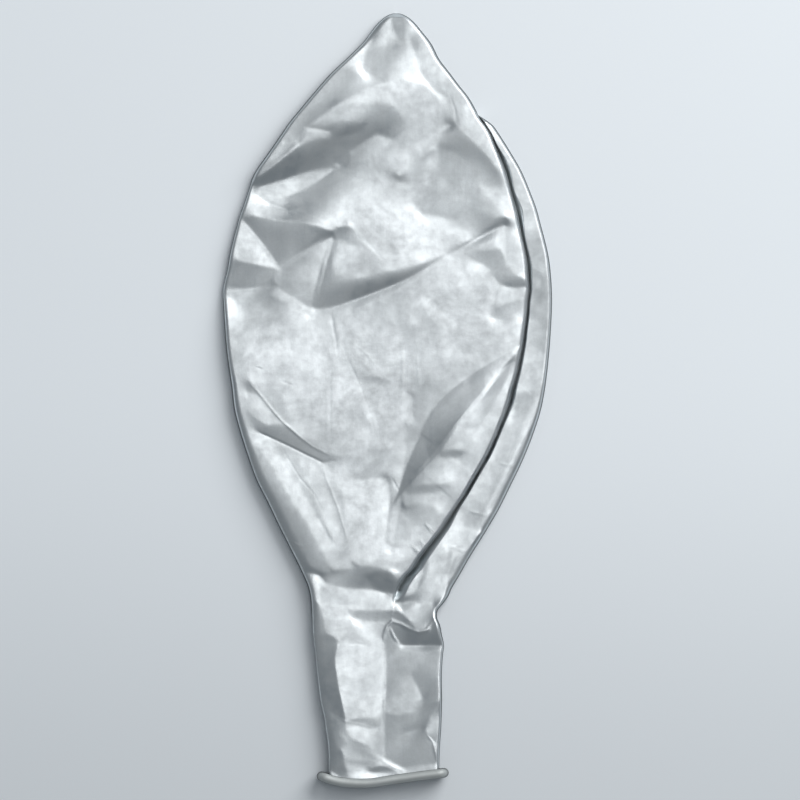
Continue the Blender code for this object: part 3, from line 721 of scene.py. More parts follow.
@dataclass
class Relief:
    """Height of the folds in the film, worked out from its facets, creases and small dents.

    The facets say how steeply the film climbs towards the light. The height that fits them best
    over the whole plan comes from one least-squares fit, solved with a Fourier transform.
    """

    light_turn: float = math.radians(48)
    step: float = 0.4
    half_width: float = 130.0
    half_length: float = 245.0
    steepness: float = 0.66
    across_weight: float = 0.11
    widest_fold: float = 70.0
    fitting_rounds: int = 30
    slack: float = 0.97
    dent_slope: float = 0.008
    dent_size: float = 6.0
    tallest: float = 5.6
    crease_fading: float = 0.6
    slope_fading: float = 1.3
    crease_reach: float = 3.0
    last_cell: float = 1.001
    seed: int = 11
    height: Grid = field(init=False, repr=False)

    def __post_init__(self) -> None:
        """Make the plan's grid and its heights."""
        self.xs = np.arange(-self.half_width, self.half_width, self.step)
        self.ys = np.arange(-self.half_length, self.half_length, self.step)
        slope, sideways, held = self.facet_slopes()
        rough = np.random.default_rng(self.seed).normal(size=slope.shape)
        dents = self.blurred(rough, self.dent_size / 2) - self.blurred(rough, self.dent_size)
        dents *= self.dent_slope / dents.std()
        asked = slope
        for _ in range(self.fitting_rounds):
            height = self.fitted(asked, sideways)
            asked = slope + (1 - held) * self.slack * self.climb(height)
        height = self.fitted(asked + dents, sideways)
        self.height = self.tallest * np.tanh(height / self.tallest)
        for crease in CREASES:
            self.add_crease(crease)

    def frequencies(self) -> tuple[Grid, Grid]:
        """Return the grid's angular frequencies along x and y."""
        along_x = 2 * math.pi * np.fft.rfftfreq(len(self.xs), self.step)[None, :]
        along_y = 2 * math.pi * np.fft.fftfreq(len(self.ys), self.step)[:, None]
        return along_x, along_y

    def blurred(self, values: Grid, softness: float) -> Grid:
        """Blur values evenly in all directions.

        Args:
            values: Values on the plan's grid.
            softness: How far they spread, in millimetres.

        Returns:
            The blurred values.
        """
        along_x, along_y = self.frequencies()
        spread = np.exp(-0.5 * (along_x**2 + along_y**2) * softness**2)
        return np.fft.irfft2(np.fft.rfft2(values) * spread, s=values.shape)

    def fitted(self, slope: Grid, sideways: Grid) -> Grid:
        """Fit one height to the climb that the facets ask for.

        Args:
            slope: How steeply each place climbs towards the light.
            sideways: How steeply it climbs across the light, which counts less.

        Returns:
            The height that fits both best.
        """
        along_x, along_y = self.frequencies()
        towards = 1j * (along_x * math.cos(self.light_turn) + along_y * math.sin(self.light_turn))
        across = 1j * (along_y * math.cos(self.light_turn) - along_x * math.sin(self.light_turn))
        weight = abs(towards) ** 2 + self.across_weight * abs(across) ** 2 + self.widest_fold**-2
        fit = np.conj(towards) * np.fft.rfft2(slope)
        fit += self.across_weight * np.conj(across) * np.fft.rfft2(sideways)
        return np.fft.irfft2(fit / weight, s=slope.shape)

    def climb(self, height: Grid) -> Grid:
        """Return how steeply a height climbs towards the light."""
        along_y, along_x = np.gradient(height, self.step)
        return along_x * math.cos(self.light_turn) + along_y * math.sin(self.light_turn)

    def window(self, points: Grid, margin: float) -> tuple[slice, slice, Grid]:
        """Return the grid's part round some points.

        Args:
            points: Plan points in millimetres.
            margin: How far past them the part reaches.

        Returns:
            The part's rows, its columns and its plan points.
        """
        low = points.min(0) - margin
        high = points.max(0) + margin
        columns = slice(*np.searchsorted(self.xs, (low[0], high[0])))
        rows = slice(*np.searchsorted(self.ys, (low[1], high[1])))
        x, y = np.meshgrid(self.xs[columns], self.ys[rows])
        return rows, columns, np.stack((x, y), -1)

    def facet_slopes(self) -> tuple[Grid, Grid, Grid]:
        """Return what the facets ask for, with the later ones on top.

        Returns:
            The climb towards the light, the climb sideways of it, and where there are facets.
        """
        slopes = np.zeros((len(self.ys), len(self.xs)))
        sideways = np.zeros_like(slopes)
        held = np.zeros_like(slopes)
        for group in FACET_GROUPS:
            asked = np.zeros_like(slopes)
            turned = np.zeros_like(slopes)
            covered = np.zeros_like(slopes)
            for facet in group.facets:
                corners = np.array(facet.corners, float)
                outline = np.stack((PLAN.x(corners[:, 0]), PLAN.y(corners[:, 1])), -1)
                rows, columns, places = self.window(outline, self.step)
                inside = inside_outline(places, outline)
                rise = mean_value(places[inside], outline, corners[:, 2] / 100)
                asked[rows, columns][inside] = rise
                turned[rows, columns][inside] = rise * math.tan(math.radians(facet.turn))
                covered[rows, columns][inside] = 1
            covered = self.blurred(covered, group.softness)
            slopes = slopes * (1 - covered) + self.blurred(asked, group.softness) * self.steepness
            sideways = sideways * (1 - covered) + self.blurred(turned, group.softness) * self.steepness
            held = np.maximum(held, covered)
        return slopes, sideways, held

    def add_crease(self, crease: Crease) -> None:
        """Add a ridge or valley, which fades out at both ends.

        Args:
            crease: The crease's line and sizes.
        """
        read = np.array(crease.points, float)
        line = np.stack((PLAN.x(read[:, 0]), PLAN.y(read[:, 1])), -1)
        right_half_width = crease.right_half_width or crease.half_width
        margin = self.crease_reach * max(crease.half_width, right_half_width)
        rows, columns, places = self.window(line, margin)
        away, travelled, on_left = follow_line(line, places)
        fading = self.slope_fading if crease.right_half_width else self.crease_fading
        taper = np.sin(math.pi * travelled) ** fading
        half_width = np.where(on_left, crease.half_width, right_half_width)
        share = np.exp(-((away / half_width) ** 2))
        if crease.right_half_width:
            straight = np.clip(1 - away / np.maximum(crease.half_width * taper, self.step), 0, 1)
            share = np.where(on_left, straight, share)
        self.height[rows, columns] += crease.height * taper * share

    def at(self, x: Grid, y: Grid) -> Grid:
        """Read the relief between the places of its grid.

        Args:
            x: Places across the plan, in millimetres.
            y: Places along it.

        Returns:
            The relief there, in millimetres.
        """
        column = np.clip((x - self.xs[0]) / self.step, 0, len(self.xs) - self.last_cell)
        row = np.clip((y - self.ys[0]) / self.step, 0, len(self.ys) - self.last_cell)
        c = column.astype(int)
        r = row.astype(int)
        u = column - c
        v = row - r
        near = self.height[r, c] * (1 - u) + self.height[r, c + 1] * u
        far = self.height[r + 1, c] * (1 - u) + self.height[r + 1, c + 1] * u
        return near * (1 - v) + far * v


def follow_line(line: Grid, places: Grid) -> tuple[Grid, Grid, Grid]:
    """Measure where places lie beside a line.

    Args:
        line: The line's points in order.
        places: Plan points.

    Returns:
        How far each place is from the line, how far along the line its nearest point is, from 0
        to 1, and whether the place is on the line's left.
    """
    lengths = np.hypot(*np.diff(line, axis=0).T)
    nearest = np.full(places.shape[:2], np.inf)
    travelled = np.zeros(places.shape[:2])
    on_left = np.zeros(places.shape[:2], bool)
    for i, length in enumerate(lengths):
        run = line[i + 1] - line[i]
        share = np.clip(((places - line[i]) @ run) / length**2, 0, 1)
        away = np.hypot(*np.moveaxis(places - line[i] - share[..., None] * run, -1, 0))
        closer = away < nearest
        nearest = np.where(closer, away, nearest)
        travelled = np.where(closer, lengths[:i].sum() + share * length, travelled)
        turned_left = run[0] * (places - line[i])[..., 1] > run[1] * (places - line[i])[..., 0]
        on_left = np.where(closer, turned_left, on_left)
    return nearest, np.clip(travelled / lengths.sum(), 0, 1), on_left


def inside_outline(places: Grid, outline: Grid) -> Grid:
    """Find which places are inside a closed outline.

    Args:
        places: Plan points.
        outline: The outline's corners in order.

    Returns:
        True for each place inside.
    """
    inside = np.zeros(places.shape[:-1], bool)
    x, y = np.moveaxis(places, -1, 0)
    for (x0, y0), (x1, y1) in zip(outline, np.roll(outline, -1, axis=0)):
        if y0 == y1:
            continue
        crosses = (y0 > y) != (y1 > y)
        inside ^= crosses & (x < (x1 - x0) * (y - y0) / (y1 - y0) + x0)
    return inside


def mean_value(places: Grid, outline: Grid, values: Grid) -> Grid:
    """Spread the corners' values smoothly over the inside of an outline.

    Args:
        places: Plan points inside the outline.
        outline: The outline's corners in order.
        values: A value for each corner.

    Returns:
        A value for each place, between the corners' lowest and highest.
    """
    away = outline[None] - places[:, None]
    distance = np.hypot(away[..., 0], away[..., 1]) + LEAST_DISTANCE
    following = np.roll(away, -1, axis=1)
    turned = away[..., 0] * following[..., 1] - away[..., 1] * following[..., 0]
    turned = np.where(abs(turned) < NEAR_ZERO, NEAR_ZERO, turned)
    aligned = (away * following).sum(-1)
    half_turn = (distance * np.roll(distance, -1, axis=1) - aligned) / turned
    weights = (np.roll(half_turn, 1, axis=1) + half_turn) / distance
    spread = (weights * values).sum(1) / weights.sum(1)
    return np.clip(spread, values.min(), values.max())


@dataclass
class FilmPlan:
    """Where the folded film's edges and flats are, from the crown's tip down to the mouth."""

    relief: Relief = field(default_factory=Relief)
    tip_y: float = 200.0
    crown_base_y: float = 191.0
    throat_y: float = -98.0
    neck_y: float = -123.5
    neck_end_y: float = -197.0
    tip_x: float = 4.5
    tip_rounding: float = 2.2
    tip_end_z: float = 2.4
    floor_clearance: float = 0.12
    neck_lift: float = 4.2
    thinnest: float = 5.15
    thin_softness: float = 0.4
    full_relief_level: float = 9.0
    lobe_end: float = 22.0
    lobe_end_reach: float = 34.0
    left_fall: float = 0.08
    left_fall_reach: float = 60.0
    fold_fall: float = 0.07
    fold_fall_reach: float = 16.0
    gap_share: float = 0.7
    least_gap: float = 0.4
    gap_start: float = 0.2
    gap_roundness: float = 0.8
    strip_low: float = 4.2
    strip_least: float = 0.6
    strip_full_width: float = 5.0
    strip_relief: float = 0.8
    strip_fall: float = 1.1
    strip_fall_reach: float = 8.0
    strip_fall_y: float = 20.0
    strip_fall_length: float = 50.0
    small_dents: float = 3.5
    large_dents: float = 9.0
    dent_start: float = 0.3
    deepest_dent: float = 2.5
    dent_height: float = 0.45
    outline_width: float = 2.0
    seed: int = 23

    def __post_init__(self) -> None:
        """Make the small dents of the underside."""
        rough = np.random.default_rng(self.seed).normal(size=self.relief.height.shape)
        under = self.relief.blurred(rough, self.small_dents) - self.relief.blurred(rough, self.large_dents)
        self.under = under / under.std()

    def edge(self, y: Grid, readings: tuple[tuple[float, float], ...]) -> Grid:
        """Place an edge, which closes in a round tip past the crown's base.

        Args:
            y: The rows, in millimetres.
            readings: The edge, as (row, column) in the photograph.

        Returns:
            The edge's x in each row.
        """
        x = PLAN.x(self.reading(y, readings))
        along = np.clip((self.tip_y - y) / (self.tip_y - self.crown_base_y), 0, 1)
        return self.tip_x + (x - self.tip_x) * np.sqrt(along)

    def left(self, y: Grid) -> Grid:
        """Return the left edge, a single round fold."""
        return self.edge(y, LEFT_EDGE)

    def right(self, y: Grid) -> Grid:
        """Return the right outer edge."""
        return self.edge(y, RIGHT_EDGE)

    def fold(self, y: Grid) -> Grid:
        """Return the front lobe's fold edge on the right, and the ridge that goes on from it."""
        return self.edge(y, FOLD_EDGE)

    def reading(self, y: Grid, readings: tuple[tuple[float, float], ...]) -> Grid:
        """Return a value that is read by the photograph's row."""
        return smooth_line(PLAN.row_at_middle - y / PLAN.pixel, readings)

    def front_top(self, x: Grid, y: Grid) -> Grid:
        """Work out the height of the front film's top.

        Args:
            x: Places across the plan, in millimetres.
            y: Places along it.

        Returns:
            The film's height there.
        """
        level = self.reading(y, FRONT_LEVEL)
        from_left = np.clip((x - self.left(y)) / self.left_fall_reach, 0, 1)
        from_fold = np.clip(abs(x - self.fold(y)) / self.fold_fall_reach, 0, 1)
        lobe = 1 - smooth_step((self.throat_y + self.lobe_end - y) / self.lobe_end_reach)
        level = level * (1 - self.left_fall * lobe * (1 - from_left) ** 2)
        level = level * (1 - self.fold_fall * lobe * (1 - from_fold) ** 2)
        height = level + self.relief.at(x, y) * np.clip(level / self.full_relief_level, 0, 1)
        spare = height - self.thinnest
        soft = self.thin_softness
        least = self.thinnest + soft * np.exp(np.minimum(spare / soft - 1, 0))
        height = np.where(spare > soft, height, least)
        rounding = np.sqrt(np.clip((self.tip_y - y) / self.tip_rounding, 0, 1))
        return self.tip_end_z + (height - self.tip_end_z) * rounding

    def strip_top(self, x: Grid, y: Grid) -> Grid:
        """Work out the height of the rear film's top, where it shows beside the fold edge.

        Args:
            x: Places across the plan, in millimetres.
            y: Places along it.

        Returns:
            The film's height there.
        """
        width = self.right(y) - self.fold(y)
        low = self.strip_low
        level = low + (self.reading(y, STRIP_LEVEL) - low) * smooth_step(width / self.strip_full_width)
        gap = np.maximum(self.reading(y, FOLD_GAP) * PLAN.pixel * self.gap_share, self.least_gap)
        rise = smooth_step((x - self.fold(y) - self.gap_start) / gap) ** self.gap_roundness
        from_right = np.clip((self.right(y) - x) / self.strip_fall_reach, 0, 1)
        fall = self.strip_fall * smooth_step((self.strip_fall_y - y) / self.strip_fall_length)
        height = level + self.relief.at(x, y) * self.strip_relief - fall * (1 - from_right) ** 2
        return low + (np.maximum(height, low + self.strip_least) - low) * rise

    def underside(self, x: Grid, y: Grid) -> Grid:
        """Work out the height of the film's underside, flat on the floor but for small dents.

        Args:
            x: Places across the plan, in millimetres.
            y: Places along it.

        Returns:
            The underside's height there.
        """
        relief = self.relief
        column = np.clip(((x - relief.xs[0]) / relief.step).astype(int), 0, len(relief.xs) - 1)
        row = np.clip(((y - relief.ys[0]) / relief.step).astype(int), 0, len(relief.ys) - 1)
        dents = np.clip(self.under[row, column] - self.dent_start, 0, self.deepest_dent)
        return self.floor_clearance + self.lift(y) + self.dent_height * dents

    def outlying(self, points: Grid) -> Grid:
        """Find the points at the outline.

        Args:
            points: Points of the film, in millimetres.

        Returns:
            1 for each point at the outline, falling to 0 a little inside it.
        """
        x = points[..., 0]
        y = points[..., 1]
        inside = np.minimum(x - self.left(y), self.right(y) - x)
        return 1 - smooth_step((inside - self.outline_width) / self.outline_width)

    def lift(self, y: Grid) -> Grid:
        """Return how far the underside is held off the floor towards the mouth."""
        return self.neck_lift * smooth_step((self.throat_y - y) / (self.throat_y - self.neck_y))


@dataclass(frozen=True)
class EdgeTurn:
    """A rounded edge of folded film, from its flat top round the edge to its foot underneath."""

    edge: Grid
    inward: float
    reach: Grid
    middle: Grid
    foot: Grid
    foot_reach: Grid
    steep_share: float = 0.74
    steep_reach: float = 0.38
    step_crowding: float = 1.7
    soft_roundness: float = 2.2
    upper_steps: int = 13
    lower_steps: int = 5

    def points(self, y: Grid, top: Callable[[Grid, Grid], Grid]) -> tuple[Grid, Grid]:
        """Return the turn's x and z for each row, from the flat to the foot.

        Args:
            y: The rows, as a column.
            top: Height of the flat that the turn starts from.

        Returns:
            The x and the z, with a row for each y.
        """
        inwards = np.linspace(1, 0, self.upper_steps + 1)[None] ** self.step_crowding
        x = self.edge + self.inward * self.reach * inwards
        soft = (1 - self.steep_share) * (1 - inwards) ** self.soft_roundness
        steep = self.steep_share * np.exp(-inwards * self.reach / self.steep_reach)
        z = self.middle + (top(x, y) - self.middle) * (1 - soft - steep)
        turn = np.linspace(0, math.pi / 2, self.lower_steps + 1)[None, 1:]
        under_x = self.edge + self.inward * self.foot_reach * (1 - np.cos(turn))
        under_z = self.middle - (self.middle - self.foot) * np.sin(turn)
        return np.hstack((x, under_x)), np.hstack((z, under_z))


def row_steps(start: Grid, end: Grid, count: int, *, inner: bool = False) -> Grid:
    """Space some x evenly in each row.

    Args:
        start: The first x of each row.
        end: The last x of each row.
        count: How many there are, with both ends.
        inner: Whether the two ends are left out.

    Returns:
        The x, with a row for each start.
    """
    share = np.linspace(0, 1, count)[None]
    if inner:
        share = share[:, 1:-1]
    return start + (end - start) * share


def row_normals(points: Grid) -> Grid:
    """Return smooth normals of a grid of points whose columns close round it.

    Args:
        points: Rows of points, each row a closed section that runs rightwards over its top.

    Returns:
        A unit normal for each point.
    """
    around = np.roll(points, -1, axis=1) - np.roll(points, 1, axis=1)
    along = np.gradient(points, axis=0)
    normals = np.cross(along, around)
    return normals / np.maximum(np.linalg.norm(normals, axis=-1, keepdims=True), NEAR_ZERO)


# How far up a normal points where the painted shade line starts, where it is full and where it ends below
LINE_START = 0.5
LINE_FULL = 0.1
LINE_FADING = -0.3
LINE_END = -0.8


def mark_where_shade_is_painted(mesh: bpy.types.Mesh, upward: Grid, outlying: Grid) -> None:
    """Store where the film turns under at its outline, where the material paints shade into the colour as a
    dark line.

    Args:
        mesh: The mesh to mark.
        upward: The upward part of each point's unit normal.
        outlying: 1 for each point at the outline, falling to 0 inside it.
    """
    turned = smooth_step((LINE_START - upward) / (LINE_START - LINE_FULL))
    under = smooth_step((upward - LINE_END) / (LINE_FADING - LINE_END))
    mark = mesh.attributes.new(PAINTED_SHADE_MARK, "FLOAT", "POINT")
    mark.data.foreach_set("value", (turned * under * outlying).astype(np.float32).ravel())


def film_mesh(name: str, points: Grid, normals: Grid, closed_rows: bool = False) -> bpy.types.Mesh:
    """Build a closed mesh from rows of points, in millimetres.

    Args:
        name: The mesh's name.
        points: Rows of points, each row a closed section, whose normals point outwards.
        normals: A normal for each point.
        closed_rows: Whether the last row meets the first. Otherwise both ends are capped.

    Returns:
        The mesh, in metres, with its normals set.
    """
    rows, columns = points.shape[:2]
    index = np.arange(rows * columns).reshape(rows, columns)
    if closed_rows:
        index = np.vstack((index, index[:1]))
    around = np.roll(index, -1, axis=1)
    quads = np.stack((index[:-1], index[1:], around[1:], around[:-1]), -1).reshape(-1, 4)
    loops = [quads.ravel()]
    sizes = [np.full(len(quads), 4)]
    loop_normals = [normals.reshape(-1, 3)[quads.ravel()]]
    if not closed_rows:
        for cap, facing in ((index[0], (0, 1, 0)), (index[-1][::-1], (0, -1, 0))):
            loops.append(cap)
            sizes.append(np.array([columns]))
            loop_normals.append(np.tile(facing, (columns, 1)))
    loops = np.concatenate(loops)
    sizes = np.concatenate(sizes)
    mesh = bpy.data.meshes.new(name)
    mesh.vertices.add(rows * columns)
    mesh.vertices.foreach_set("co", (points.reshape(-1, 3) * MM).astype(np.float32).ravel())
    mesh.loops.add(len(loops))
    mesh.loops.foreach_set("vertex_index", loops.astype(np.int32))
    mesh.polygons.add(len(sizes))
    mesh.polygons.foreach_set("loop_start", np.concatenate(([0], np.cumsum(sizes)[:-1])).astype(np.int32))
    mesh.polygons.foreach_set("use_smooth", np.ones(len(sizes), bool))
    mesh.update(calc_edges=True)
    mesh.validate()
    mesh.normals_split_custom_set(np.concatenate(loop_normals).astype(np.float32))
    return mesh


def section_points(y: Grid, parts: list[tuple[Grid, Grid]]) -> Grid:
    """Join the parts of each row's section.

    Args:
        y: The rows, as a column.
        parts: The x and z of each part, in order round the section.

    Returns:
        Rows of points.
    """
    x = np.hstack([np.broadcast_to(part[0], (len(y), np.shape(part[0])[1])) for part in parts])
    z = np.hstack([np.broadcast_to(part[1], (len(y), np.shape(part[1])[1])) for part in parts])
    return np.stack((x, np.broadcast_to(y, x.shape), z), -1)


def dress(name: str, mesh: bpy.types.Mesh, finish: "Finish", nodes: tuple[str, ...]) -> bpy.types.Object:
    """Link a piece, give it its finish and hide the CAD nodes it stands for.

    Args:
        name: The piece's name.
        mesh: Its finished mesh.
        finish: Its finish.
        nodes: The CAD nodes that it replaces.

    Returns:
        The piece.
    """
    piece = bpy.data.objects.new(name, mesh)
    bpy.context.scene.collection.objects.link(piece)
    mesh.materials.clear()
    mesh.materials.append(finish.material())
    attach(piece, BODY)
    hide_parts(*nodes)
    triangles = sum(len(face.vertices) - 2 for face in mesh.polygons)
    LOG.info("%s: %d triangles", name, triangles)
    return piece


class Slot(Enum):
    """The record's material slots."""

    FILM = "silver_film"
    CROWN = "crown_latex"
    BEAD = "bead_latex"


Route = tuple[bpy.types.Node, str | int, bpy.types.Node, str | int]


@dataclass(frozen=True)
class Finish:
    """A pearly silver latex surface, with shade painted into its colour along the outline."""

    slot: Slot
    colour: tuple[float, float, float]
    metallic: float
    roughness: float
    clouding: float
    grain_depth: float
    streak_depth: float
    # Share of the colour taken away as painted shade along the outline
    painted_edge_shade: float = 0.8
    specular: float = 0.6
    edge_tint: tuple[float, float, float, float] = (0.4, 0.42, 0.43, 1)
    bump_distance: float = 0.0002
    bump_strength: float = 0.5

    def material(self) -> bpy.types.Material:
        """Return this finish's material, made once."""
        name = self.slot.value + "_finish"
        made = bpy.data.materials.get(name)
        if made:
            return made
        material = bpy.data.materials.new(name)
        material.use_nodes = True
        tree = material.node_tree
        shader = tree.nodes["Principled BSDF"]
        set_inputs(shader, {"Specular IOR Level": self.specular, "Specular Tint": self.edge_tint})
        place = tree.nodes.new("ShaderNodeTexCoord")
        # The outline mark says where shade is painted into the colour
        mark = tree.nodes.new("ShaderNodeAttribute")
        mark.attribute_name = PAINTED_SHADE_MARK
        clouds = tree.nodes.new("ShaderNodeGroup")
        clouds.node_tree = pearl_clouds()
        set_inputs(clouds, {
            "Colour": (*self.colour, 1),
            "Clouding": self.clouding,
            "Roughness": self.roughness,
            "Metallic": self.metallic,
            "Painted Edge Shade": self.painted_edge_shade,
        })
        skin = tree.nodes.new("ShaderNodeGroup")
        skin.node_tree = latex_skin()
        set_inputs(skin, {"Grain": self.grain_depth, "Streaks": self.streak_depth})
        bump = tree.nodes.new("ShaderNodeBump")
        set_inputs(bump, {"Distance": self.bump_distance, "Strength": self.bump_strength})
        join(
            tree,
            (place, "Object", clouds, "Place"),
            (mark, "Fac", clouds, "Outline"),
            (place, "Object", skin, "Place"),
            (clouds, "Colour", shader, "Base Color"),
            (clouds, "Roughness", shader, "Roughness"),
            (clouds, "Metallic", shader, "Metallic"),
            (skin, "Height", bump, "Height"),
            (bump, "Normal", shader, "Normal"),
        )
        return material


@dataclass(frozen=True)
class Mottling:
    """The sizes of a noise texture."""

    scale: float
    detail: float
    roughness: float
    distortion: float = 0.0

    def add_to(self, group: bpy.types.NodeTree) -> bpy.types.Node:
        """Add the noise texture to a node group.

        Args:
            group: The group to add to.

        Returns:
            The noise texture's node.
        """
        node = group.nodes.new("ShaderNodeTexNoise")
        set_inputs(node, {
            "Scale": self.scale,
            "Detail": self.detail,
            "Roughness": self.roughness,
            "Distortion": self.distortion,
        })
        return node


BROAD_CLOUDS = Mottling(34, 5, 0.62, 0.8)
FINE_CLOUDS = Mottling(210, 3, 0.6)
FINE_SHARE = 0.6
CLOUD_MIDDLE = 0.8
GLOSS_SWING = 0.5
GRAIN = Mottling(1100, 3, 0.6)
STREAKS = Mottling(1, 3, 0.6)
STREAK_TURN = math.radians(-38)
STREAK_SCALE = (420, 45, 120)


def set_inputs(node: bpy.types.Node, values: dict[str, float | tuple[float, ...]]) -> None:
    """Set some of a node's inputs by name."""
    for name, value in values.items():
        node.inputs[name].default_value = value


def join(tree: bpy.types.NodeTree, *routes: Route) -> None:
    """Link a tree's nodes by routes, from a node and its output to a node and its input."""
    for start, output, end, entry in routes:
        tree.links.new(start.outputs[output], end.inputs[entry])


def add_socket(
    group: bpy.types.NodeTree,
    name: str,
    kind: str,
    *,
    output: bool = False,
    value: float | tuple[float, ...] | None = None,
) -> None:
    """Add a named input or output to a node group.

    Args:
        group: The group to add to.
        name: The socket's name.
        kind: What the socket holds, as Blender names it.
        output: Whether it is an output.
        value: What an input holds while nothing is linked to it.
    """
    way = "OUTPUT" if output else "INPUT"
    socket = group.interface.new_socket(name=name, in_out=way, socket_type="NodeSocket" + kind)
    if value is not None:
        socket.default_value = value


def maths(
    group: bpy.types.NodeTree,
    operation: str,
    first: bpy.types.NodeSocket | float,
    second: bpy.types.NodeSocket | float,
) -> bpy.types.NodeSocket:
    """Add a maths node to a node group and return its result.

    Args:
        group: The group to add to.
        operation: Blender's name of the operation.
        first: A socket or a number.
        second: A socket or a number.

    Returns:
        The result's socket.
    """
    node = group.nodes.new("ShaderNodeMath")
    node.operation = operation
    for socket, value in zip(node.inputs, (first, second)):
        if isinstance(value, bpy.types.NodeSocket):
            group.links.new(value, socket)
        else:
            socket.default_value = value
    return node.outputs[0]


def pearl_clouds() -> bpy.types.NodeTree:
    """Return the group that clouds a pearly colour, its gloss and its metal sheen, and paints shade into the
    colour along the outline.
    """
    made = bpy.data.node_groups.get("pearl_clouds")
    if made:
        return made
    group = bpy.data.node_groups.new("pearl_clouds", "ShaderNodeTree")
    add_socket(group, "Place", "Vector")
    add_socket(group, "Colour", "Color", value=(0.7, 0.7, 0.7, 1))
    for name, value in (
        ("Clouding", 0.1),
        ("Roughness", 0.4),
        ("Metallic", 0.5),
        ("Outline", 0.0),
        ("Painted Edge Shade", 0.8),
    ):
        add_socket(group, name, "Float", value=value)
    add_socket(group, "Colour", "Color", output=True)
    add_socket(group, "Roughness", "Float", output=True)
    add_socket(group, "Metallic", "Float", output=True)
    source = group.nodes.new("NodeGroupInput")
    result = group.nodes.new("NodeGroupOutput")
    broad = BROAD_CLOUDS.add_to(group)
    fine = FINE_CLOUDS.add_to(group)
    given = source.outputs
    less_fine = maths(group, "MULTIPLY", fine.outputs["Fac"], FINE_SHARE)
    both = maths(group, "ADD", broad.outputs["Fac"], less_fine)
    centred = maths(group, "SUBTRACT", both, CLOUD_MIDDLE)
    swing = maths(group, "MULTIPLY", centred, given["Clouding"])
    # Painted shade: the colour darkens along the outline mark, standing in for the shade where the film
    # turns under
    shade = maths(group, "MULTIPLY", given["Outline"], given["Painted Edge Shade"])
    bright = maths(group, "MULTIPLY", maths(group, "ADD", swing, 1.0), maths(group, "SUBTRACT", 1.0, shade))
    rough = maths(group, "SUBTRACT", given["Roughness"], maths(group, "MULTIPLY", swing, GLOSS_SWING))
    metal = maths(group, "ADD", given["Metallic"], swing)
    scale = group.nodes.new("ShaderNodeVectorMath")
    scale.operation = "SCALE"
    group.links.new(bright, scale.inputs["Scale"])
    group.links.new(rough, result.inputs["Roughness"])
    group.links.new(metal, result.inputs["Metallic"])
    join(
        group,
        (source, "Place", broad, "Vector"),
        (source, "Place", fine, "Vector"),
        (source, "Colour", scale, 0),
        (scale, "Vector", result, "Colour"),
    )
    return group


def latex_skin() -> bpy.types.NodeTree:
    """Return the group that gives latex its fine grain and faint drawn streaks, as a height."""
    made = bpy.data.node_groups.get("latex_skin")
    if made:
        return made
    group = bpy.data.node_groups.new("latex_skin", "ShaderNodeTree")
    add_socket(group, "Place", "Vector")
    add_socket(group, "Grain", "Float", value=0.3)
    add_socket(group, "Streaks", "Float", value=0.3)
    add_socket(group, "Height", "Float", output=True)
    source = group.nodes.new("NodeGroupInput")
    result = group.nodes.new("NodeGroupOutput")
    grain = GRAIN.add_to(group)
    streaks = STREAKS.add_to(group)
    stretch = group.nodes.new("ShaderNodeMapping")
    set_inputs(stretch, {"Rotation": (0, 0, STREAK_TURN), "Scale": STREAK_SCALE})
    join(
        group,
        (source, "Place", grain, "Vector"),
        (source, "Place", stretch, "Vector"),
        (stretch, "Vector", streaks, "Vector"),
    )
    fine = maths(group, "MULTIPLY", grain.outputs["Fac"], source.outputs["Grain"])
    drawn = maths(group, "MULTIPLY", streaks.outputs["Fac"], source.outputs["Streaks"])
    group.links.new(maths(group, "ADD", fine, drawn), result.inputs["Height"])
    return group


SILVER_FILM = Finish(Slot.FILM, (0.67, 0.705, 0.72), 0.88, 0.38, 0.7, 0.25, 0.3)
CROWN_LATEX = Finish(Slot.CROWN, (0.66, 0.695, 0.71), 0.88, 0.38, 0.65, 0.25, 0.3)
BEAD_LATEX = Finish(Slot.BEAD, (0.49, 0.515, 0.51), 0.45, 0.54, 0.3, 0.35, 0.4)


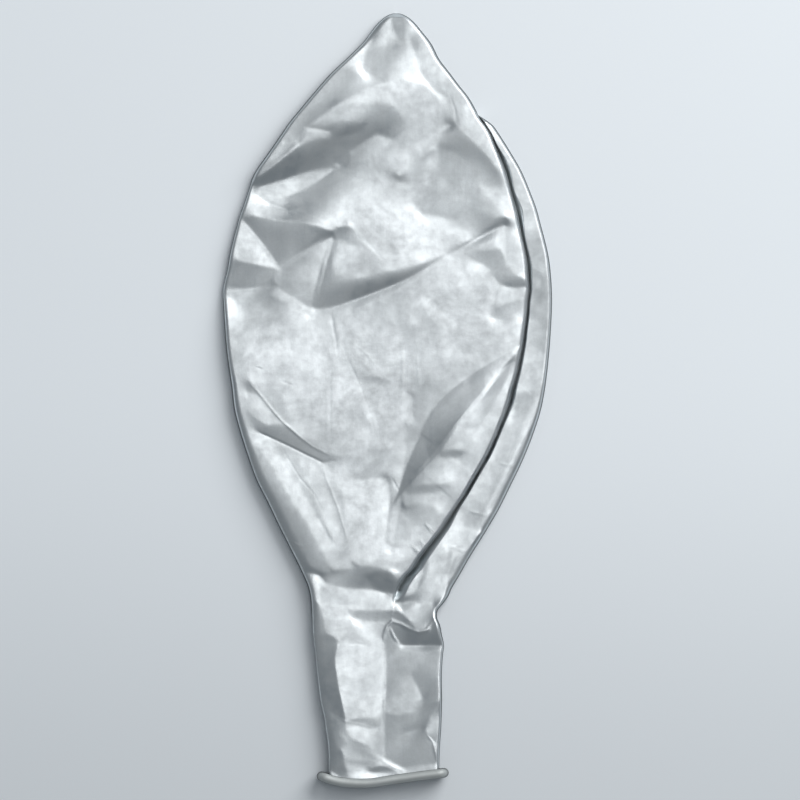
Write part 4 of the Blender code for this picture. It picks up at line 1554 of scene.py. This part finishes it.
@dataclass
class EnvelopeSkin:
    """The limp envelope: the front lobe, and the rear lobe under it."""

    plan: FilmPlan
    row_spacing: float = 0.72
    front_columns: int = 190
    strip_columns: int = 46
    bottom_columns: int = 52
    hidden_columns: int = 14
    wrapped_y: float = 141.0
    wrapping_reach: float = 8.0
    most_reach: float = 0.42
    edge_middle: float = 3.4
    edge_middle_share: float = 0.4
    front_under: float = 4.74
    under_overlap: float = 0.6
    fold_reach: float = 2.6
    fold_middle: float = 6.2
    fold_foot_reach: float = 1.5
    foot_reach: float = 3.0
    most_foot_reach: float = 0.3
    rear_top: float = 4.15
    rear_left_inset: float = 1.4
    rear_left_top: float = 2.5
    strip_start: float = 0.15
    strip_step: float = 1.0
    strip_reach: float = 1.0
    strip_reach_share: float = 0.5
    strip_middle: float = 2.4
    strip_middle_rise: float = 0.5
    strip_rise_width: float = 10.0
    strip_lift: float = 1.2
    crown_inset: float = 3.4

    def rows(self) -> Grid:
        """Return the rows from the crown to the throat, with one more past each end."""
        count = round((self.plan.crown_base_y - self.plan.throat_y) / self.row_spacing)
        rows = np.linspace(self.plan.crown_base_y, self.plan.throat_y, count + 1)
        spacing = rows[0] - rows[1]
        return np.concatenate(([rows[0] + spacing], rows, [rows[-1] - spacing]))[:, None]

    def near_crown(self, y: Grid) -> Grid:
        """Return 1 near the crown, where the front film reaches the floor on the right too, else 0."""
        return smooth_step((y - self.wrapped_y) / self.wrapping_reach)

    def low_middle(self, y: Grid) -> Grid:
        """Return how high the middle of a turn is where it reaches the floor."""
        level = self.plan.reading(y, FRONT_LEVEL)
        return np.minimum(self.edge_middle, self.edge_middle_share * level)

    def left_turn(self, y: Grid) -> EdgeTurn:
        """Turn the film round its left edge.

        Args:
            y: The rows, as a column.

        Returns:
            The turn.
        """
        plan = self.plan
        width = plan.right(y) - plan.left(y)
        return EdgeTurn(
            edge=plan.left(y),
            inward=1,
            reach=np.minimum(plan.reading(y, LEFT_TURN) * PLAN.pixel, self.most_reach * width),
            middle=self.low_middle(y) + plan.lift(y),
            foot=plan.floor_clearance + plan.lift(y),
            foot_reach=np.minimum(self.foot_reach, self.most_foot_reach * width),
        )

    def fold_turn(self, y: Grid) -> EdgeTurn:
        """Turn the front film round its fold edge, down to the floor near the crown.

        Args:
            y: The rows, as a column.

        Returns:
            The turn.
        """
        plan = self.plan
        crown = self.near_crown(y)
        width = plan.right(y) - plan.left(y)
        wide_reach = np.minimum(plan.reading(y, RIGHT_TURN) * PLAN.pixel, self.most_reach * width)
        wide_foot = np.minimum(self.foot_reach, self.most_foot_reach * width)
        return EdgeTurn(
            edge=plan.fold(y),
            inward=-1,
            reach=self.fold_reach + (wide_reach - self.fold_reach) * crown,
            middle=self.fold_middle + (self.low_middle(y) - self.fold_middle) * crown,
            foot=self.front_under + (plan.floor_clearance - self.front_under) * crown,
            foot_reach=self.fold_foot_reach + (wide_foot - self.fold_foot_reach) * crown,
        )

    def strip_turn(self, y: Grid) -> EdgeTurn:
        """Turn the rear film round its outer edge, set in under the front film near the crown.

        Args:
            y: The rows, as a column.

        Returns:
            The turn.
        """
        plan = self.plan
        strip = plan.right(y) - plan.fold(y)
        widest = self.strip_reach + self.strip_reach_share * np.maximum(strip, 0)
        rise = self.strip_middle_rise * smooth_step(strip / self.strip_rise_width)
        return EdgeTurn(
            edge=plan.right(y) - self.crown_inset * self.near_crown(y),
            inward=-1,
            reach=np.minimum(plan.reading(y, RIGHT_TURN) * PLAN.pixel, widest),
            middle=self.strip_middle + rise + self.strip_lift * plan.lift(y),
            foot=plan.floor_clearance + plan.lift(y),
            foot_reach=np.full_like(y, self.foot_reach),
        )

    def front_section(self, y: Grid) -> Grid:
        """Join the front lobe's sections, round both edges and flat underneath.

        Args:
            y: The rows, as a column.

        Returns:
            A section for each row.
        """
        plan = self.plan
        left = self.left_turn(y)
        right = self.fold_turn(y)
        left_x, left_z = left.points(y, plan.front_top)
        right_x, right_z = right.points(y, plan.front_top)
        across = row_steps(left_x[:, :1], right_x[:, :1], self.front_columns, inner=True)
        under_right = right_x[:, -1:] - self.under_overlap
        under_left = left_x[:, -1:] + self.under_overlap
        under = row_steps(under_right, under_left, self.hidden_columns)
        return section_points(y, [
            (left_x[:, ::-1], left_z[:, ::-1]),
            (across, plan.front_top(across, y)),
            (right_x, right_z),
            (under, np.full_like(under, self.front_under)),
        ])

    def rear_section(self, y: Grid) -> Grid:
        """Join the rear lobe's sections, the strip beside the fold edge and the hidden rest.

        Args:
            y: The rows, as a column.

        Returns:
            A section for each row.
        """
        plan = self.plan
        outer_x, outer_z = self.strip_turn(y).points(y, plan.strip_top)
        start = np.minimum(plan.fold(y) + self.strip_start, outer_x[:, :1] - self.strip_step)
        strip = row_steps(start, outer_x[:, :1], self.strip_columns)[:, :-1]
        low_left = plan.left(y) + self.foot_reach + self.rear_left_inset
        bottom = row_steps(outer_x[:, -1:], low_left, self.bottom_columns)[:, 1:]
        hidden = row_steps(low_left, start - self.strip_step, self.hidden_columns)
        level = np.full_like(hidden, self.rear_top)
        level[:, 0] = self.rear_left_top
        return section_points(y, [
            (bottom, plan.underside(bottom, y)),
            (hidden, level),
            (strip, plan.strip_top(strip, y)),
            (outer_x, outer_z),
        ])

    def build(self) -> list[bpy.types.Object]:
        """Build the two lobes."""
        y = self.rows()
        pieces = []
        for name, points in (("front_lobe", self.front_section(y)), ("rear_lobe", self.rear_section(y))):
            normals = row_normals(points)
            mesh = film_mesh(name, points[1:-1], normals[1:-1])
            # Painted shade: each lobe's outline gets a dark line painted into its colour
            mark_where_shade_is_painted(mesh, normals[1:-1, :, 2], self.plan.outlying(points[1:-1]))
            pieces.append(dress(name + "_film", mesh, SILVER_FILM, (name,)))
        return pieces


@dataclass
class GussetSkin:
    """The gusset that is tucked between the two lobes, a thin wavy fold of film."""

    plan: FilmPlan
    top_y: float = 150.0
    row_spacing: float = 3.0
    columns: int = 30
    left_inset: float = 6.0
    fold_inset: float = 1.9
    low: float = 4.3
    high: float = 4.6
    wave_height: float = 0.06
    wave_across: float = 3.1
    wave_along: float = 17.0

    def section(self, y: Grid) -> Grid:
        """Join the gusset's sections, whose top and bottom are the same wave.

        Args:
            y: The rows, as a column.

        Returns:
            A section for each row.
        """
        plan = self.plan
        across = row_steps(plan.left(y) + self.left_inset, plan.fold(y) - self.fold_inset, self.columns)
        wave = self.wave_height * np.sin(across / self.wave_across + y / self.wave_along)
        return section_points(y, [
            (across, self.high + wave),
            (across[:, ::-1], self.low + wave[:, ::-1]),
        ])

    def build(self) -> list[bpy.types.Object]:
        """Build the gusset, which shows only at its lower end."""
        points = self.section(np.arange(self.top_y, self.plan.throat_y, -self.row_spacing)[:, None])
        mesh = film_mesh("side_gusset", points, row_normals(points))
        return [dress("side_gusset_film", mesh, SILVER_FILM, ("side_gusset",))]


@dataclass
class CrownTip:
    """The thick dab of latex that closes the crown."""

    envelope: EnvelopeSkin
    rows: int = 34
    under_columns: int = 14
    first_share: float = 1.02
    last_share: float = 0.1

    def build(self) -> list[bpy.types.Object]:
        """Build the crown's tip, from its base to its rounded end."""
        plan = self.envelope.plan
        length = plan.tip_y - plan.crown_base_y
        share = np.linspace(self.first_share, self.last_share, self.rows)
        y = (plan.tip_y - length * share**2)[::-1, None]
        y = np.sort(np.vstack((y, [[plan.crown_base_y]])), axis=0)[::-1]
        left_x, left_z = self.envelope.left_turn(y).points(y, plan.front_top)
        right_x, right_z = self.envelope.fold_turn(y).points(y, plan.front_top)
        across = row_steps(left_x[:, :1], right_x[:, :1], self.envelope.front_columns, inner=True)
        under = row_steps(right_x[:, -1:], left_x[:, -1:], self.under_columns, inner=True)
        points = section_points(y, [
            (left_x[:, ::-1], left_z[:, ::-1]),
            (across, plan.front_top(across, y)),
            (right_x, right_z),
            (under, plan.underside(under, y)),
        ])
        normals = row_normals(points)
        mesh = film_mesh("crown_tip", points[:-1], normals[:-1])
        mark_where_shade_is_painted(mesh, normals[:-1, :, 2], plan.outlying(points[:-1]))
        return [dress("crown_tip_dab", mesh, CROWN_LATEX, ("crown_tip",))]


@dataclass
class NeckSkin:
    """The gathered throat and the flat hollow neck below it."""

    envelope: EnvelopeSkin
    throat_rows: int = 47
    neck_rows: int = 134
    closing: float = 8.0
    wall: float = 0.45
    neck_middle_z: float = 7.5
    flare: float = 0.22
    flare_start: float = 0.93
    flare_length: float = 0.07
    film_past_rim: float = 0.8

    def rows(self) -> Grid:
        """Return the rows from the throat's top to the mouth, with one more past each end."""
        plan = self.envelope.plan
        throat = np.linspace(plan.throat_y, plan.neck_y, self.throat_rows)
        neck = np.linspace(plan.neck_y, plan.neck_end_y, self.neck_rows)
        before = 2 * throat[0] - throat[1]
        after = 2 * neck[-1] - neck[-2]
        return np.concatenate(([before], throat, neck[1:], [after]))[:, None]

    def towards_mouth(self, y: Grid) -> Grid:
        """Return how far down the neck a row is, from 0 at its top to 1 at its end."""
        plan = self.envelope.plan
        return (plan.neck_y - y) / (plan.neck_y - plan.neck_end_y)

    def askew(self, x: Grid, y: Grid) -> Grid:
        """Shift the rows so that the neck's end follows the slanting rim.

        Args:
            x: Places across the plan, in millimetres.
            y: The rows they are in.

        Returns:
            Where the places are along the plan.
        """
        plan = self.envelope.plan
        columns = PLAN.column_at_middle + x / PLAN.pixel
        rim = PLAN.y(smooth_line(columns, MOUTH_LINE)) + self.film_past_rim
        return y + (rim - plan.neck_end_y) * smooth_step(self.towards_mouth(y))

    def closed(self, y: Grid) -> Grid:
        """Return how far the step beside the fold edge has closed, from 0 at the throat's top to 1."""
        return smooth_step((self.envelope.plan.throat_y - y) / self.closing)

    def front_top(self, x: Grid, y: Grid) -> Grid:
        """Return the height of the front film's top once its rows are askew."""
        return self.envelope.plan.front_top(x, self.askew(x, y))

    def strip_top(self, x: Grid, y: Grid) -> Grid:
        """Work out the height of the film's top on the right, even where the step has closed.

        Args:
            x: Places across the plan, in millimetres.
            y: The rows they are in.

        Returns:
            The film's height there.
        """
        plan = self.envelope.plan
        closed = self.closed(y)
        real = self.askew(x, y)
        spread = plan.reading(y, STRIP_LEVEL) + plan.relief.at(x, real)
        return plan.strip_top(x, real) * (1 - closed) + np.maximum(spread, plan.thinnest) * closed

    def section(self, y: Grid) -> Grid:
        """Join the front's flat, the step beside it as it closes, the strip and the underside.

        Args:
            y: The rows, as a column.

        Returns:
            The sections, with a row for each y.
        """
        plan = self.envelope.plan
        closed = self.closed(y)
        left_x, left_z = self.envelope.left_turn(y).points(y, self.front_top)
        outer_x, outer_z = self.envelope.strip_turn(y).points(y, self.strip_top)
        fold = self.envelope.fold_turn(y)
        fold_x, fold_z = fold.points(y, self.front_top)
        fold_x = fold_x[:, : fold.upper_steps + 1]
        fold_z = fold_z[:, : fold.upper_steps + 1] * (1 - closed) + self.front_top(fold_x, y) * closed
        across = row_steps(left_x[:, :1], fold_x[:, :1], self.envelope.front_columns, inner=True)
        start = plan.fold(y) + self.envelope.strip_start
        strip = row_steps(start, outer_x[:, :1], self.envelope.strip_columns)[:, :-1]
        bottom = row_steps(outer_x[:, -1:], left_x[:, -1:], self.envelope.bottom_columns, inner=True)
        points = section_points(y, [
            (left_x[:, ::-1], left_z[:, ::-1]),
            (across, self.front_top(across, y)),
            (fold_x, fold_z),
            (strip, self.strip_top(strip, y)),
            (outer_x, outer_z),
            (bottom, plan.underside(bottom, y)),
        ])
        points[..., 1] = self.askew(points[..., 0], points[..., 1])
        opening = smooth_step((self.towards_mouth(y) - self.flare_start) / self.flare_length)
        points[..., 2] += (points[..., 2] - self.neck_middle_z) * self.flare * opening
        return points

    def build(self) -> list[bpy.types.Object]:
        """Build the throat as a closed piece, and the neck as a hollow sleeve."""
        points = self.section(self.rows())
        normals = row_normals(points)
        last = self.throat_rows + 1
        throat = film_mesh("throat", points[1:last], normals[1:last])
        mark_where_shade_is_painted(throat, normals[1:last, :, 2], self.envelope.plan.outlying(points[1:last]))
        outer = points[last - 1:-1]
        outward = normals[last - 1:-1]
        sleeve = np.concatenate((outer, (outer - self.wall * outward)[::-1]))
        facing = np.concatenate((outward, -outward[::-1]))
        neck = film_mesh("neck", sleeve, facing, closed_rows=True)
        mark_where_shade_is_painted(neck, facing[..., 2], self.envelope.plan.outlying(sleeve))
        return [
            dress("throat_film", throat, SILVER_FILM, ("throat",)),
            dress("neck_sleeve", neck, SILVER_FILM, ("neck",)),
        ]


NOISE_MIDDLE = (0.5, 0.5, 0.5)


@dataclass
class RimBead:
    """The rolled bead round the mouth, a cord of film along a flattened ring."""

    left: float = -31.6
    right: float = 26.7
    bottom_z: float = 2.5
    top_z: float = 12.4
    radius: float = 2.45
    wobble: float = 0.28
    wobble_size: float = 90.0
    wobble_detail: float = 1.5
    end_bulge: float = 0.5
    steps_along: int = 60
    steps_round: int = 14
    profile_points: int = 22
    seed: int = 5

    def end(self, x: float, outward: int) -> list[tuple[float, float]]:
        """Bend the ring round one of its ends.

        Args:
            x: Where the end starts, in millimetres.
            outward: 1 for the right end, from the top down, and -1 for the left one, from below up.

        Returns:
            The x and z of the points between the two straight runs.
        """
        middle = (self.top_z + self.bottom_z) / 2
        half = outward * (self.top_z - self.bottom_z) / 2
        turns = np.linspace(0, math.pi, self.steps_round)[1:-1]
        return [(x + self.end_bulge * half * math.sin(a), middle + half * math.cos(a)) for a in turns]

    def path(self) -> list[tuple[float, float, float]]:
        """Return the ring's points in metres: over the top, round the right end, back below."""
        along = np.linspace(self.left, self.right, self.steps_along)
        above = [(x, self.top_z) for x in along]
        below = [(x, self.bottom_z) for x in np.linspace(self.right, self.left, self.steps_along)]
        points = []
        for x, z in above + self.end(self.right, 1) + below + self.end(self.left, -1):
            column = np.array(PLAN.column_at_middle + x / PLAN.pixel)
            y = float(PLAN.y(smooth_line(column, MOUTH_LINE)))
            points.append((x * MM, y * MM, z * MM))
        return points

    def rolling(self, finish: Finish) -> bpy.types.NodeTree:
        """Make the node tree that rolls a bead of film along a curve.

        Args:
            finish: The finish of the bead's film.

        Returns:
            The tree, whose inputs are the bead's sizes.
        """
        tree = bpy.data.node_groups.new("rolled_bead", "GeometryNodeTree")
        add_socket(tree, "Geometry", "Geometry")
        add_socket(tree, "Bead Radius", "Float", value=self.radius * MM)
        add_socket(tree, "Profile Points", "Int", value=self.profile_points)
        add_socket(tree, "Wobble", "Float", value=self.wobble * MM)
        add_socket(tree, "Wobble Size", "Float", value=self.wobble_size)
        add_socket(tree, "Seed", "Int", value=self.seed)
        add_socket(tree, "Geometry", "Geometry", output=True)
        source = tree.nodes.new("NodeGroupInput")
        result = tree.nodes.new("NodeGroupOutput")
        circle = tree.nodes.new("GeometryNodeCurvePrimitiveCircle")
        sweep = tree.nodes.new("GeometryNodeCurveToMesh")
        rough = tree.nodes.new("ShaderNodeTexNoise")
        rough.noise_dimensions = "4D"
        set_inputs(rough, {"Detail": self.wobble_detail})
        centre = tree.nodes.new("ShaderNodeVectorMath")
        centre.operation = "SUBTRACT"
        centre.inputs[1].default_value = NOISE_MIDDLE
        scale = tree.nodes.new("ShaderNodeVectorMath")
        scale.operation = "SCALE"
        shift = tree.nodes.new("GeometryNodeSetPosition")
        smooth = tree.nodes.new("GeometryNodeSetShadeSmooth")
        real = tree.nodes.new("GeometryNodeRealizeInstances")
        coat = tree.nodes.new("GeometryNodeSetMaterial")
        coat.inputs["Material"].default_value = finish.material()
        join(
            tree,
            (source, "Profile Points", circle, "Resolution"),
            (source, "Bead Radius", circle, "Radius"),
            (source, "Geometry", sweep, "Curve"),
            (circle, "Curve", sweep, "Profile Curve"),
            (source, "Wobble Size", rough, "Scale"),
            (source, "Seed", rough, "W"),
            (rough, "Color", centre, 0),
            (centre, "Vector", scale, 0),
            (source, "Wobble", scale, "Scale"),
            (sweep, "Mesh", shift, "Geometry"),
            (scale, "Vector", shift, "Offset"),
            (shift, "Geometry", smooth, "Geometry"),
            (smooth, "Geometry", real, "Geometry"),
            (real, "Geometry", coat, "Geometry"),
            (coat, "Geometry", result, "Geometry"),
        )
        return tree

    def build(self) -> list[bpy.types.Object]:
        """Build the bead, and turn the node tree's result into a plain mesh."""
        points = self.path()
        curve = bpy.data.curves.new("bead_path", "CURVE")
        curve.dimensions = "3D"
        spline = curve.splines.new("POLY")
        spline.points.add(len(points) - 1)
        for place, point in zip(spline.points, points):
            place.co = (*point, 1)
        spline.use_cyclic_u = True
        route = bpy.data.objects.new("bead_path", curve)
        bpy.context.scene.collection.objects.link(route)
        modifier = route.modifiers.new("rolled_bead", "NODES")
        modifier.node_group = self.rolling(BEAD_LATEX)
        evaluated = route.evaluated_get(bpy.context.evaluated_depsgraph_get())
        mesh = bpy.data.meshes.new_from_object(evaluated)
        # Painted shade: the bead's turned-down sides take the dark line painted into their colour too
        upward = np.array([vertex.normal.z for vertex in mesh.vertices])
        mark_where_shade_is_painted(mesh, upward, np.ones_like(upward))
        bpy.data.objects.remove(route)
        return [dress("rim_bead_roll", mesh, BEAD_LATEX, ("rim_bead",))]


def place_round(away: float, turn: float, height: float) -> tuple[float, float, float]:
    """Return the place that far from the table's middle, turned anticlockwise, and that high."""
    return away * math.cos(turn), away * math.sin(turn), height


@dataclass
class Studio:
    """The pale table, one large soft light up to the right, and the camera straight above."""

    camera_height: float = 6.0
    film_height: float = 0.007
    frame_pixels: int = 800
    sensor: float = 36.0
    floor_half: float = 2.2
    floor_colour: tuple[float, float, float] = (0.90, 0.945, 0.98)
    floor_roughness: float = 0.75
    floor_specular: float = 0.2
    # Painted shade: the table's colour is darker by this factor towards the near edge, standing in for the
    # light's falloff
    painted_shade_factor: float = 0.82
    near_y: float = -0.25
    far_y: float = 0.03
    light_height: float = 7.0
    light_turn: float = math.radians(48)
    light_length: float = 7.6
    light_width: float = 4.8
    light_past_middle: float = 0.50
    light_radiance: float = 1.38
    side_turn: float = math.radians(48)
    side_distance: float = 1.7
    side_height: float = 1.3
    side_size: float = 1.6
    side_radiance: float = 4.1
    sky_colour: tuple[float, float, float] = (0.80, 0.88, 0.95)
    sky_strength: float = 0.22

    def camera(self) -> None:
        """Add the camera, whose frame is the photograph's."""
        data = bpy.data.cameras.new("camera")
        data.sensor_width = self.sensor
        wide = self.frame_pixels * PLAN.pixel * MM
        data.lens = self.sensor * (self.camera_height - self.film_height) / wide
        camera = bpy.data.objects.new("camera", data)
        middle = self.frame_pixels / 2
        camera.location = (float(PLAN.x(middle)) * MM, float(PLAN.y(middle)) * MM, self.camera_height)
        bpy.context.scene.collection.objects.link(camera)
        bpy.context.scene.camera = camera

    def floor(self) -> None:
        """Add the pale table top, its colour painted darker towards the near edge as shade."""
        mesh = bpy.data.meshes.new("floor")
        half = self.floor_half
        corners = [(-half, -half, 0), (half, -half, 0), (half, half, 0), (-half, half, 0)]
        mesh.from_pydata(corners, [], [(0, 1, 2, 3)])
        material = bpy.data.materials.new("pale_table")
        material.use_nodes = True
        tree = material.node_tree
        shader = tree.nodes["Principled BSDF"]
        set_inputs(shader, {"Roughness": self.floor_roughness, "Specular IOR Level": self.floor_specular})
        place = tree.nodes.new("ShaderNodeTexCoord")
        split = tree.nodes.new("ShaderNodeSeparateXYZ")
        share = tree.nodes.new("ShaderNodeMapRange")
        share.interpolation_type = "SMOOTHSTEP"
        set_inputs(share, {"From Min": self.near_y, "From Max": self.far_y})
        blend = tree.nodes.new("ShaderNodeMix")
        blend.data_type = "RGBA"
        # The near edge's colour, with the painted shade in it
        painted_shade_colour = [part * self.painted_shade_factor for part in self.floor_colour]
        set_inputs(blend, {"A": (*painted_shade_colour, 1), "B": (*self.floor_colour, 1)})
        join(
            tree,
            (place, "Object", split, "Vector"),
            (split, "Y", share, "Value"),
            (share, "Result", blend, "Factor"),
            (blend, "Result", shader, "Base Color"),
        )
        mesh.materials.append(material)
        floor = bpy.data.objects.new("floor", mesh)
        bpy.context.scene.collection.objects.link(floor)

    def lights(self) -> None:
        """Add the soft light and the dim surroundings."""
        overhead = self.panel("overhead_light", self.light_length, self.light_width, self.light_radiance)
        away = self.light_length / 2 - self.light_past_middle
        overhead.location = place_round(away, self.light_turn, self.light_height)
        overhead.rotation_euler = (0, 0, self.light_turn)
        side = self.panel("side_light", self.side_size, self.side_size, self.side_radiance)
        side.location = place_round(self.side_distance, self.side_turn, self.side_height)
        side.rotation_euler = (0, math.atan2(self.side_distance, self.side_height), self.side_turn)
        world = bpy.data.worlds.new("surroundings")
        world.use_nodes = True
        sky = world.node_tree.nodes["Background"]
        sky.inputs["Color"].default_value = (*self.sky_colour, 1)
        sky.inputs["Strength"].default_value = self.sky_strength
        bpy.context.scene.world = world

    def panel(self, name: str, length: float, width: float, radiance: float) -> bpy.types.Object:
        """Add a soft light panel that shines straight down until it is turned.

        Args:
            name: The panel's name.
            length: Its length, in metres.
            width: Its width, in metres.
            radiance: How bright its surface is.

        Returns:
            The panel.
        """
        light = bpy.data.lights.new(name, "AREA")
        light.shape = "RECTANGLE"
        light.size = length
        light.size_y = width
        light.energy = radiance * math.pi * length * width
        lamp = bpy.data.objects.new(name, light)
        bpy.context.scene.collection.objects.link(lamp)
        return lamp

    def build(self) -> None:
        """Set up the whole studio."""
        self.camera()
        self.floor()
        self.lights()
        bpy.context.scene.view_settings.view_transform = "Standard"


def main() -> None:
    """Build the balloon's looks and the studio, and log the relief's range and each piece."""
    logging.basicConfig(level=logging.INFO, format="%(message)s")
    plan = FilmPlan()
    LOG.info("relief from %.1f to %.1f mm", plan.relief.height.min(), plan.relief.height.max())
    envelope = EnvelopeSkin(plan)
    for part in (envelope, GussetSkin(plan), CrownTip(envelope), NeckSkin(envelope), RimBead()):
        for piece in part.build():
            LOG.info("%s is dressed", piece.name)
    Studio().build()


if __name__ == "__main__":
    main()
